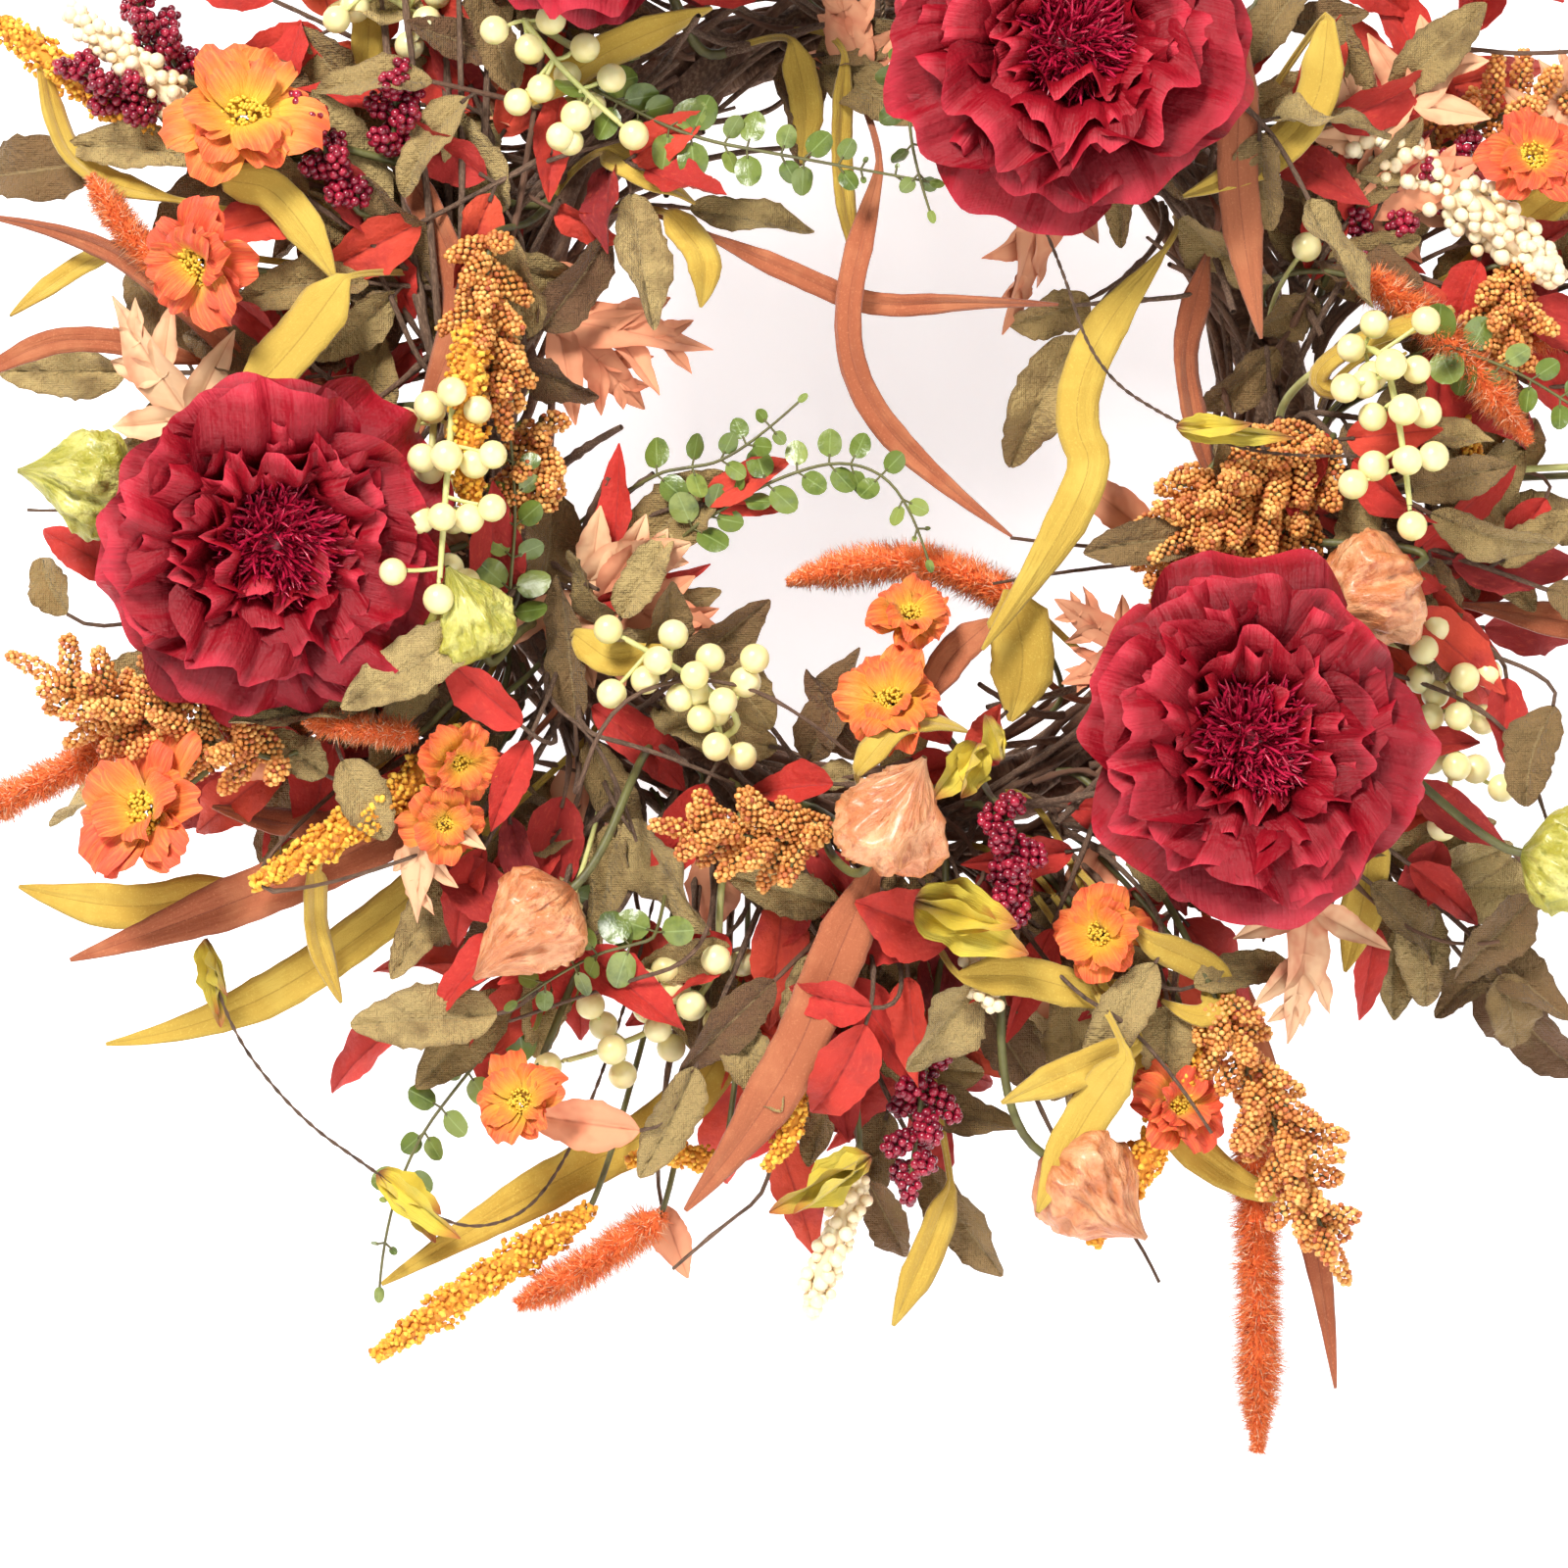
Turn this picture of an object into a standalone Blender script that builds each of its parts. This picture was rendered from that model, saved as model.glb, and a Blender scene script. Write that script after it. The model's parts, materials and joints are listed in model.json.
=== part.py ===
"""Harvest door wreath: a grapevine ring dressed with silk peonies, lantern pods, berries and leaves.

Metres, +Z up, +X to the right and the front towards -Y. The origin is the hang point: the point of
the door's face (Y = 0) level with the inside of the top of the wire hanger loop.

Places on the wreath are given as (clock, offset, depth): clock is the angle in degrees round the
ring, counter-clockwise from +X seen from the front; offset is the distance in millimetres outside
the ring's centreline; depth is the distance in millimetres in front of the door's face.
"""

import math

import bmesh
import bpy
from mathutils import Matrix, Vector

MM = 0.001
GAP = 0.0003  # clearance between pieces that touch

# Grapevine ring
RING_RADIUS = 0.140
DOOR_CLEARANCE = 0.0012  # between the door's face and the wire band at the back of the vine
STRAND_COUNT = 3
STRAND_RADIUS = 0.0056
STRAND_TURNS = 4
BINDING_COUNT = 2
BINDING_RADIUS = 0.0019
BINDING_TURNS = 7
VINE_CLEARANCE = 0.0007

# Wire hanger
HANGER_DROP = 0.036  # from the loop's pivot up to the inside of its top
HANGER_WIDTH = 0.026
HANGER_WIRE = 0.0011
HANGER_SWING = -45  # degrees round the vine from its outer side towards the door

# Picks
STEM_RADIUS = 0.0017
STALK_RADIUS = 0.0008  # of one bead
LEAF_THICKNESS = 0.0012
LEAF_LENGTH = 0.052
LEAF_WIDTH = 0.025
STRAP_THICKNESS = 0.0014
PEONY_RADIUS = 0.058
PEONY_HEIGHT = 0.038
PEONY_FLOOR = 0.016  # the seat of the stamens above the back of the petals
CALYX_HEIGHT = 0.006
STAMEN_RADIUS = 0.024
POD_LENGTH = 0.046
BERRY_RADIUS = 0.0052
LOBE_RADIUS = 0.0054  # a lobe of small beads or grains
COIN_LEAF = 0.016  # a round eucalyptus leaf
FLOWER_RADIUS = 0.023
SPIKE_RADIUS = 0.0070
FOXTAIL_RADIUS = 0.0080

# Worked out from the above
STRAND_ORBIT = (STRAND_RADIUS + VINE_CLEARANCE) / math.sin(math.pi / STRAND_COUNT)
BINDING_ORBIT = STRAND_ORBIT + STRAND_RADIUS + VINE_CLEARANCE + BINDING_RADIUS
BUNDLE_RADIUS = BINDING_ORBIT + BINDING_RADIUS
PIVOT_ORBIT = BUNDLE_RADIUS + VINE_CLEARANCE * 2 + HANGER_WIRE
BAND_ORBIT = BUNDLE_RADIUS + VINE_CLEARANCE + HANGER_WIRE
RING_DEPTH = BAND_ORBIT + HANGER_WIRE + DOOR_CLEARANCE  # centreline in front of the door's face
PIVOT_RISE = PIVOT_ORBIT * math.cos(math.radians(HANGER_SWING))
PIVOT_DEPTH = RING_DEPTH + PIVOT_ORBIT * math.sin(math.radians(HANGER_SWING))
CENTRE = Vector((0, 0, -(RING_RADIUS + PIVOT_RISE + HANGER_DROP)))
FRONT = Vector((0, -1, 0))
RIGHT = Vector((1, 0, 0))
UP = Vector((0, 0, 1))

# Faces of the vine that a stem is tied to, in degrees round the vine from its outer side
OUTER, FRONT_OUTER, FACE, FRONT_INNER, INNER = 0, 45, 90, 135, 175

COLOURS = {  # linear colour, roughness, metallic
    "grapevine": ((0.105, 0.058, 0.034), 0.9, 0.0),
    "hanger_wire": ((0.16, 0.12, 0.08), 0.5, 0.8),
    "peony_petal": ((0.42, 0.010, 0.030), 0.55, 0.0),
    "stamen": ((0.16, 0.004, 0.035), 0.35, 0.0),
    "green_stem": ((0.16, 0.22, 0.06), 0.6, 0.0),
    "orange_pod": ((0.80, 0.27, 0.10), 0.6, 0.0),
    "green_pod": ((0.46, 0.42, 0.07), 0.6, 0.0),
    "orange_flower": ((0.85, 0.20, 0.03), 0.6, 0.0),
    "cream_berry": ((0.87, 0.80, 0.45), 0.35, 0.0),
    "cream_bead": ((0.85, 0.66, 0.40), 0.4, 0.0),
    "burgundy_bead": ((0.22, 0.008, 0.040), 0.3, 0.0),
    "sorghum_bead": ((0.55, 0.20, 0.03), 0.6, 0.0),
    "gold_floss": ((0.60, 0.26, 0.03), 0.85, 0.0),
    "orange_fuzz": ((0.72, 0.19, 0.04), 0.95, 0.0),
    "mustard_strap": ((0.52, 0.36, 0.06), 0.85, 0.0),
    "rust_strap": ((0.42, 0.15, 0.07), 0.85, 0.0),
    "felt_leaf": ((0.19, 0.14, 0.05), 0.9, 0.0),
    "red_leaf": ((0.58, 0.035, 0.02), 0.75, 0.0),
    "eucalyptus_leaf": ((0.15, 0.24, 0.05), 0.35, 0.0),
}


def clear_scene():
    for thing in list(bpy.data.objects):
        bpy.data.objects.remove(thing)


def material_named(name):
    if name in bpy.data.materials:
        return bpy.data.materials[name]
    colour, roughness, metallic = COLOURS[name]
    material = bpy.data.materials.new(name)
    material.use_nodes = True
    shader = material.node_tree.nodes["Principled BSDF"]
    shader.inputs["Base Color"].default_value = (*colour, 1)
    shader.inputs["Roughness"].default_value = roughness
    shader.inputs["Metallic"].default_value = metallic
    return material


def add_object(name, bm, material, place=None):
    """An object of the mesh, whose points are already round the place's own origin."""
    bmesh.ops.recalc_face_normals(bm, faces=bm.faces)
    mesh = bpy.data.meshes.new(name)
    bm.to_mesh(mesh)
    bm.free()
    mesh.materials.append(material_named(material))
    thing = bpy.data.objects.new(name, mesh)
    if place is not None:
        thing.matrix_world = place
    bpy.context.scene.collection.objects.link(thing)
    return thing


# ---- places on the wreath


def outward(clock):
    return Vector((math.cos(math.radians(clock)), 0, math.sin(math.radians(clock))))


def spot(clock, offset, depth):
    """A point of the wreath from its clock in degrees, and its offset and depth in millimetres."""
    return CENTRE + outward(clock) * (RING_RADIUS + offset * MM) + FRONT * (depth * MM)


def on_vine(clock, side, orbit):
    """A point at a distance from the ring's centreline, on the given side of the vine."""
    out = outward(clock) * (RING_RADIUS + orbit * math.cos(math.radians(side)))
    return CENTRE + out + FRONT * (RING_DEPTH + orbit * math.sin(math.radians(side)))


def smooth_path(corners, steps):
    """Points of a quadratic curve that starts and ends at the outer corners and rounds the rest."""
    points = [corners[0]]
    for i in range(1, len(corners) - 1):
        first = corners[0] if i == 1 else (corners[i - 1] + corners[i]) / 2
        last = corners[-1] if i == len(corners) - 2 else (corners[i] + corners[i + 1]) / 2
        for k in range(1, steps + 1):
            t = k / steps
            points.append(first * (1 - t) ** 2 + corners[i] * (2 * t * (1 - t)) + last * t**2)
    return points


def stem_corners(clock, side, path, tie=4):
    """The stem's corners: its tied end along the vine, then the (clock, offset, depth) spots."""
    orbit = BUNDLE_RADIUS + VINE_CLEARANCE + STEM_RADIUS
    tied = [on_vine(clock - tie, side, orbit), on_vine(clock, side, orbit)]
    return tied + [spot(*place) for place in path]


# ---- growing a closed body by extruding one face from ring to ring


class Growth:
    """A closed body that starts as a short prism and grows by extruding its faces."""

    def __init__(self, first, second):
        self.bm = bmesh.new()
        low = [self.bm.verts.new(p) for p in first]
        high = [self.bm.verts.new(p) for p in second]
        count = len(low)
        self.bm.faces.new(low[::-1])
        for k in range(count):
            n = (k + 1) % count
            self.bm.faces.new((low[k], low[n], high[n], high[k]))
        self.end = self.bm.faces.new(high)
        self.bm.normal_update()

    def lengthen(self, rings):
        """Extrudes the end through the rings in turn."""
        for ring in rings:
            self.end = self.extrude(self.end, ring)

    def extrude(self, face, ring):
        """Extrudes the face to the ring of points, which run counter-clockwise about its way."""
        grown = bmesh.ops.extrude_discrete_faces(self.bm, faces=[face])["faces"][0]
        middle = sum(ring, Vector()) / len(ring)
        base = grown.calc_center_median()
        verts = list(grown.verts)
        count = len(verts)

        def mismatch(turn):
            total = 0
            for k, vert in enumerate(verts):
                here = (vert.co - base).normalized()
                there = (ring[(k + turn) % count] - middle).normalized()
                total += (here - there).length
            return total

        turn = min(range(count), key=mismatch)
        for k, vert in enumerate(verts):
            vert.co = ring[(k + turn) % count]
        grown.normal_update()
        return grown

    def sides_of(self, face):
        """The faces round an extruded face, which join it to the ring before."""
        around = [f for edge in face.edges for f in edge.link_faces if f is not face]
        for f in around:
            f.normal_update()
        return around

    def branch(self, sides, way, rings):
        """Grows a branch out of whichever side face looks most along the way."""
        best = max((f for f in sides if f.is_valid), key=lambda f: f.normal.dot(way))
        sides.remove(best)
        for ring in rings:
            best = self.extrude(best, ring)


def ring_about(centre, along, across, radius, count):
    """Points on a circle round a centre, counter-clockwise about the along direction."""
    other = along.cross(across)
    points = []
    for k in range(count):
        angle = 2 * math.pi * k / count
        points.append(centre + (across * math.cos(angle) + other * math.sin(angle)) * radius)
    return points


def quad_about(centre, along, across, half_width, half_thickness):
    other = along.cross(across).normalized() * half_thickness
    wide = across * half_width
    return [centre + wide + other, centre - wide + other, centre - wide - other, centre + wide - other]


def frames_along(points):
    """For each point its direction and a sideways direction that lies flat to the door if it can."""
    frames = []
    across = None
    for i, point in enumerate(points):
        ahead = points[min(i + 1, len(points) - 1)] - points[max(i - 1, 0)]
        along = ahead.normalized()
        flat = along.cross(FRONT)
        carried = flat if across is None else across - along * across.dot(along)
        if flat.length > 0.3:
            flat.normalize()
            across = -flat if flat.dot(carried) < 0 else flat
        else:
            across = carried.normalized()
        frames.append((point, along, across))
    return frames


def leaf_rings(base, way, face_way, length, width, curl):
    """Rings of a flat leaf with a short stalk, a rounded blade and a pointed tip."""
    across = way.cross(face_way).normalized()
    lift = across.cross(way).normalized()
    if lift.dot(face_way) < 0:
        lift = -lift
    rings = []
    for share, wide in ((0.10, 0.09), (0.30, 0.80), (0.52, 1.0), (0.78, 0.66), (1.0, 0.10)):
        centre = base + way * (length * share) + lift * (curl * length * share * share)
        half = max(width / 2 * wide, LEAF_THICKNESS)
        rings.append(quad_about(centre, way, across, half, LEAF_THICKNESS / 2))
    return rings


def bead_rings(base, way, stalk, radius, length=2.0):
    """Rings of a bead of the radius on a thin stalk, its length given in radii."""
    across = way.orthogonal().normalized()
    rings = [quad_about(base + way * stalk, way, across, STALK_RADIUS, STALK_RADIUS)]
    for share, wide in ((0.22, 0.72), (0.66, 0.84), (1.0, 0.30)):
        size = radius * wide
        centre = base + way * (stalk + radius * length * share)
        rings.append(quad_about(centre, way, across, size, size))
    return rings


# ---- picks


def with_joints(points, shares, spread=0.0014):
    """The path's points, with a close pair of points at each share of its length."""
    lengths = [0.0]
    for a, b in zip(points, points[1:]):
        lengths.append(lengths[-1] + (b - a).length)
    total = lengths[-1]

    def at(distance):
        for k in range(1, len(points)):
            if distance <= lengths[k] or k == len(points) - 1:
                span = lengths[k] - lengths[k - 1]
                return points[k - 1].lerp(points[k], (distance - lengths[k - 1]) / span)

    joints = [total * share for share in shares]
    kept = [d for d in lengths if all(abs(d - j) > spread * 2.5 for j in joints)]
    marks = [(d, False) for d in kept]
    for j in joints:
        marks += [(j - spread, False), (j + spread, True)]
    marks.sort()
    return [(at(min(max(d, 0), total)), joint) for d, joint in marks]


def branching_stem(corners, shares, radius=STEM_RADIUS, steps=3):
    """A square stem, and for each joint its place, its direction, its sideways way and its sides."""
    marked = with_joints(smooth_path(corners, steps), shares)
    frames = frames_along([point for point, _ in marked])
    rings = []
    for k, (point, along, across) in enumerate(frames):
        size = radius * (1 - 0.35 * k / (len(frames) - 1))
        rings.append(quad_about(point, along, across, size, size))
    growth = Growth(rings[0], rings[1])
    joints = []
    end = growth.end
    for k in range(2, len(rings)):
        end = growth.extrude(end, rings[k])
        if marked[k][1]:
            point = (frames[k][0] + frames[k - 1][0]) / 2
            joints.append((point, frames[k][1], frames[k][2], growth.sides_of(end)))
    growth.end = end
    return growth, joints, frames[-1]


def leaf_spray(name, material, corners, shares, length, width, lean=48, curl=0.12):
    """A stem with leaves on both sides at each joint and one at its end."""
    growth, joints, tip = branching_stem(corners, shares)
    spread = math.radians(lean)
    for point, along, across, sides in joints:
        for side in (1, -1):
            way = (along * math.cos(spread) + across * (side * math.sin(spread))).normalized()
            growth.branch(sides, across * side, leaf_rings(point, way, FRONT, length, width, curl))
    point, along, across = tip
    growth.lengthen(leaf_rings(point, along, FRONT, length * 1.1, width, curl))
    return add_object(name, growth.bm, material)


def strap_leaf(name, material, corners, width, stalk_share=0.25, steps=4):
    """One long strap on a short stem: a ribbon that widens from the stem and narrows to its tip."""
    frames = frames_along(smooth_path(corners, steps))
    last = len(frames) - 1
    rings = []
    for k, (point, along, across) in enumerate(frames):
        share = k / last
        blade = (share - stalk_share) / (1 - stalk_share)
        if blade < 0:
            rings.append(quad_about(point, along, across, STEM_RADIUS, STEM_RADIUS))
            continue
        wide = max(min(1.0, 0.25 + 4 * blade, 0.12 + 2.6 * (1 - blade)), 0.12)
        rings.append(quad_about(point, along, across, width / 2 * wide, STRAP_THICKNESS / 2))
    growth = Growth(rings[0], rings[1])
    growth.lengthen(rings[2:])
    return add_object(name, growth.bm, material)


def bead_spray(name, material, corners, shares, radius, stalk, length=2.0, lean=62):
    """A stem with round beads or lobes on stalks at each joint, left, right and forward."""
    growth, joints, tip = branching_stem(corners, shares)
    for point, along, across, sides in joints:
        spread = math.radians(lean)
        forward = along.cross(across)
        if forward.dot(FRONT) < 0:
            forward = -forward
        for side in (across, -across, forward):
            way = (along * math.cos(spread) + side * math.sin(spread)).normalized()
            growth.branch(sides, side, bead_rings(point, way, stalk, radius, length))
    point, along, _ = tip
    growth.lengthen(bead_rings(point, along, stalk * 0.5, radius, length))
    return add_object(name, growth.bm, material)


def turned_pick(name, material, corners, profile, sides, steps=3, axis=None):
    """A round stem that swells into a head, which points along the axis or on along the stem.

    The profile gives (distance from the head's base, radius) in metres.
    """
    frames = frames_along(smooth_path(corners, steps))
    rings = [ring_about(*frame, STEM_RADIUS, sides) for frame in frames]
    base, along, across = frames[-1]
    if axis is not None:
        along = axis
        across = (across - along * across.dot(along)).normalized()
    for distance, radius in profile:
        rings.append(ring_about(base + along * distance, along, across, radius, sides))
    growth = Growth(rings[0], rings[1])
    growth.lengthen(rings[2:])
    return add_object(name, growth.bm, material)


def lantern_pod(name, material, corners, scale=1.0):
    """A papery pod, widest in its lower third and drawn to a point."""
    length = POD_LENGTH * scale
    shares = ((0.04, 0.10), (0.14, 0.31), (0.36, 0.40), (0.60, 0.33), (0.84, 0.15), (1.0, 0.03))
    return turned_pick(name, material, corners, [(length * a, length * r) for a, r in shares], 8)


def spike(name, material, corners, radius, lumps=0.10, steps=5, bare=0.3):
    """A round spike: a stem, then a fat head with lumps that tapers to a blunt tip."""
    frames = frames_along(smooth_path(corners, steps))
    last = len(frames) - 1
    rings = []
    for k, (point, along, across) in enumerate(frames):
        head = (k / last - bare) / (1 - bare)
        size = STEM_RADIUS
        if head >= 0:
            taper = min(1.0, 0.45 + 3 * head, 0.35 + 2.2 * (1 - head))
            size = radius * taper * (1 - lumps * (k % 2))
        rings.append(ring_about(point, along, across, size, 6))
    growth = Growth(rings[0], rings[1])
    growth.lengthen(rings[2:])
    return add_object(name, growth.bm, material)


def small_flower(name, corners):
    """A silk blossom: a thin cup of petals round a raised disc."""
    r = FLOWER_RADIUS
    profile = ((0.002, 0.18), (0.006, 0.62), (0.010, 1.0), (0.0115, 0.98), (0.0095, 0.40), (0.013, 0.32))
    return turned_pick(name, "orange_flower", corners, [(d, r * share) for d, share in profile], 10)


def petal_cup(turn):
    """A ruffled cup of petals, closed at the back, with a flat floor in front for the stamens."""
    count = 20
    rings = []
    for share, wide in ((0.0, 0.16), (0.10, 0.50), (0.42, 0.84), (0.86, 1.0), (1.0, 0.93), (0.74, 0.66)):
        ring = []
        for k in range(count):
            angle = 2 * math.pi * k / count
            size = PEONY_RADIUS * wide * (1 + 0.06 * share * math.cos(5 * angle + turn))
            rise = PEONY_HEIGHT * share * (1 + 0.05 * math.cos(7 * angle + turn))
            ring.append(Vector((size * math.cos(angle), size * math.sin(angle), rise)))
        rings.append(ring)
    floor = Vector((0, 0, PEONY_FLOOR))
    rings.append(ring_about(floor, UP, RIGHT, STAMEN_RADIUS + 0.002, count))
    growth = Growth(rings[0], rings[1])
    growth.lengthen(rings[2:])
    return growth.bm


def stamen_tuft():
    stages = ((0.0, 0.62), (0.005, 0.86), (0.011, 0.95), (0.014, 0.60))
    rings = [ring_about(UP * rise, UP, RIGHT, STAMEN_RADIUS * share, 12) for rise, share in stages]
    growth = Growth(rings[0], rings[1])
    growth.lengthen(rings[2:])
    return growth.bm


def peony(name, corners, facing, turn):
    """A peony pick: a stem with its calyx, the petals as one ruffled cup, and the stamen tuft."""
    axis = Vector(facing).normalized()
    back = corners[-1]
    calyx = ((0.0, 0.0030), (0.0045, 0.0095), (CALYX_HEIGHT, 0.0085))
    stem_end = corners[:-1] + [back - axis * 0.012, back]
    turned_pick(f"{name}_stem", "green_stem", stem_end, calyx, 6, steps=2, axis=axis)
    seat = Matrix.Translation(back + axis * (CALYX_HEIGHT + GAP))
    place = seat @ axis.to_track_quat("Z", "X").to_matrix().to_4x4()
    add_object(f"{name}_petals", petal_cup(turn), "peony_petal", place)
    floor = Matrix.Translation(UP * (PEONY_FLOOR + GAP))
    add_object(f"{name}_stamens", stamen_tuft(), "stamen", place @ floor)


# ---- the ring and its hanger


def closed_tube(name, material, path, radius, sides, pivot=None):
    """A tube round a closed path of (point, direction, sideways) stations."""
    bm = bmesh.new()
    shift = pivot if pivot is not None else Vector()
    loops = []
    for point, along, across in path:
        ring = ring_about(point - shift, along, across, radius, sides)
        loops.append([bm.verts.new(p) for p in ring])
    for i, loop in enumerate(loops):
        after = loops[(i + 1) % len(loops)]
        for k in range(sides):
            n = (k + 1) % sides
            bm.faces.new((loop[k], loop[n], after[n], after[k]))
    return add_object(name, bm, material, None if pivot is None else Matrix.Translation(pivot))


def stations(point_at, away_from, count):
    """Stations of a closed path, with the sideways direction pointing away from a middle line."""
    path = []
    for k in range(count):
        share = k / count
        point = point_at(share)
        along = (point_at(share + 0.001) - point_at(share - 0.001)).normalized()
        away = point - away_from(share)
        across = (away - along * away.dot(along)).normalized()
        path.append((point, along, across))
    return path


def wound_vine(name, orbit, radius, turns, phase, per_turn, sides):
    """A vine that winds round the ring's centreline and closes on itself."""

    def centreline(share):
        return on_vine(360 * share, 0, 0)

    def wound(share):
        return on_vine(360 * share, 360 * turns * share + phase, orbit)

    path = stations(wound, centreline, turns * per_turn)
    return closed_tube(name, "grapevine", path, radius, sides)


def hanger():
    """A wire band tied round the vine, with a hump at the back that the hanger loop swings in."""
    hump = 2 * HANGER_WIRE + 3 * VINE_CLEARANCE

    def band(share):
        side = 360 * share
        away = (side - HANGER_SWING + 180) % 360 - 180
        orbit = BAND_ORBIT + hump * math.exp(-((away / 22) ** 2))
        return on_vine(90, side, orbit)

    path = stations(band, lambda share: on_vine(90, 0, 0), 28)
    closed_tube("hanger_band", "hanger_wire", path, HANGER_WIRE, 6)
    pivot = CENTRE + Vector((0, -PIVOT_DEPTH, RING_RADIUS + PIVOT_RISE))
    top = Vector((0, -HANGER_WIRE, HANGER_WIRE))

    def loop(share):
        angle = 2 * math.pi * share
        rise = (1 - math.cos(angle)) / 2
        middle = pivot.lerp(top, rise)
        return middle + Vector((HANGER_WIDTH / 2 * math.sin(angle) * (0.75 + 0.25 * rise), 0, 0))

    path = stations(loop, lambda share: pivot.lerp(top, 0.5), 24)
    closed_tube("hanger_loop", "hanger_wire", path, HANGER_WIRE, 6, pivot)


def grapevine_ring():
    for k in range(STRAND_COUNT):
        phase = 360 * k / STRAND_COUNT
        wound_vine(f"grapevine_strand_{k + 1}", STRAND_ORBIT, STRAND_RADIUS, STRAND_TURNS, phase, 10, 5)
    for k in range(BINDING_COUNT):
        phase = 360 * k / BINDING_COUNT + 40
        wound_vine(f"binding_vine_{k + 1}", BINDING_ORBIT, BINDING_RADIUS, BINDING_TURNS, phase, 11, 4)


def peonies():
    for name, clock, path, facing, turn in (
        ("peony_1", 188, [(189, 12, 70), (191, 60, 88), (192, 78, 96)], (-0.22, -1, 0.02), 0.4),
        ("peony_2", 316, [(316, 5, 66), (316, 20, 88), (316, 28, 101)], (0.10, -1, 0.10), 1.7),
        ("peony_3", 63, [(63, -2, 66), (63, -4, 80), (63, -5, 96)], (0.05, -1, 0.10), 2.9),
        ("peony_4", 117, [(117, 20, 62), (117, 52, 78), (117, 62, 90)], (-0.18, -1, 0.20), 4.1),
    ):
        peony(name, stem_corners(clock, FACE, path), facing, turn)


def pods():
    orange, green = "orange_pod", "green_pod"
    for name, material, clock, path, scale in (
        ("orange_pod_1", orange, 341, [(342, 6, 68), (345, 58, 78), (343, 48, 80)], 1.0),
        ("orange_pod_2", orange, 262, [(262, 14, 84), (267, 24, 108), (268, 16, 112)], 1.0),
        ("orange_pod_3", orange, 235, [(235, 8, 80), (238, 48, 96), (237, 58, 98)], 1.0),
        ("orange_pod_4", orange, 286, [(284, 30, 72), (279, 112, 80), (282, 124, 80)], 1.0),
        ("green_pod_1", green, 178, [(180, 50, 74), (187, 112, 84), (186, 120, 84)], 0.9),
        ("green_pod_2", green, 211, [(211, 8, 80), (214, 24, 94), (212, 22, 96)], 0.8),
        ("green_pod_3", green, 327, [(326, 60, 76), (324, 122, 86), (325, 128, 88)], 0.95),
    ):
        lantern_pod(name, material, stem_corners(clock, FACE, path), scale)


def small_flowers():
    low = stem_corners(203, FRONT_OUTER, [(204, 60, 70), (209, 148, 84), (209, 148, 100)])
    small_flower("orange_flower_1", low)
    high = stem_corners(150, FACE, [(152, 40, 66), (156, 103, 74), (156, 103, 86)])
    small_flower("orange_flower_2", high)


def berries():
    joints = (0.50, 0.62, 0.74, 0.86)
    for name, clock, side, path in (
        ("cream_berries_1", 3, FACE, [(8, 26, 90), (4, 34, 106), (349, 42, 106)]),
        ("cream_berries_2", 178, FRONT_INNER, [(179, 16, 82), (184, 16, 90), (203, 36, 90)]),
        ("cream_berries_3", 244, FRONT_INNER, [(242, -6, 84), (248, -26, 92), (222, -20, 92)]),
        ("cream_berries_4", 251, FACE, [(250, 30, 62), (255, 80, 64), (244, 112, 64)]),
        ("cream_berries_5", 334, FRONT_OUTER, [(336, 66, 60), (337, 84, 60), (325, 100, 60)]),
    ):
        corners = stem_corners(clock, side, path)
        bead_spray(name, "cream_berry", corners, joints, BERRY_RADIUS, stalk=0.0045)


def clusters():
    wine, grain = "burgundy_bead", "sorghum_bead"
    for name, material, clock, side, path, joints in (
        ("burgundy_beads_1", wine, 285, FRONT_INNER,
         [(285, 0, 80), (287, 4, 96), (285, 34, 98)], (0.66, 0.80)),
        ("burgundy_beads_2", wine, 279, FACE,
         [(277, 40, 62), (274, 80, 68), (272, 126, 70)], (0.66, 0.78, 0.90)),
        ("sorghum_head_1", grain, 197, FACE,
         [(198, 40, 76), (200, 80, 84), (202, 150, 84)], (0.55, 0.68, 0.81, 0.93)),
        ("sorghum_head_2", grain, 356, FRONT_INNER,
         [(354, -20, 62), (346, -28, 66), (330, -26, 66)], (0.50, 0.68, 0.86)),
        ("sorghum_head_3", grain, 300, FACE,
         [(300, 60, 76), (299, 110, 84), (298, 186, 82)], (0.58, 0.70, 0.82, 0.93)),
    ):
        corners = stem_corners(clock, side, path)
        bead_spray(name, material, corners, joints, LOBE_RADIUS, stalk=0.0035, length=2.6, lean=70)


def spikes():
    floss, fuzz = "gold_floss", "orange_fuzz"
    beads = stem_corners(42, FACE, [(36, 36, 62), (24, 70, 64), (11, 100, 64)])
    spike("cream_bead_spike_1", "cream_bead", beads, SPIKE_RADIUS * 1.15, lumps=0.14)
    upright = stem_corners(170, FACE, [(170, 4, 94), (172, 4, 106), (184, 4, 106), (197, 8, 104)])
    spike("amaranth_spike_1", floss, upright, SPIKE_RADIUS, bare=0.4)
    level = stem_corners(216, FACE, [(217, 40, 78), (219, 80, 84), (217, 134, 84)])
    spike("amaranth_spike_2", floss, level, SPIKE_RADIUS, bare=0.4)
    inside = stem_corners(304, INNER, [(306, -48, 48), (304, -66, 50), (276, -92, 50), (240, -72, 50)])
    spike("foxtail_1", fuzz, inside, FOXTAIL_RADIUS, lumps=0.0, bare=0.35)
    drooping = stem_corners(20, FACE, [(18, 24, 70), (10, 54, 76), (357, 84, 76)])
    spike("foxtail_2", fuzz, drooping, FOXTAIL_RADIUS, lumps=0.0, bare=0.35)


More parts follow.
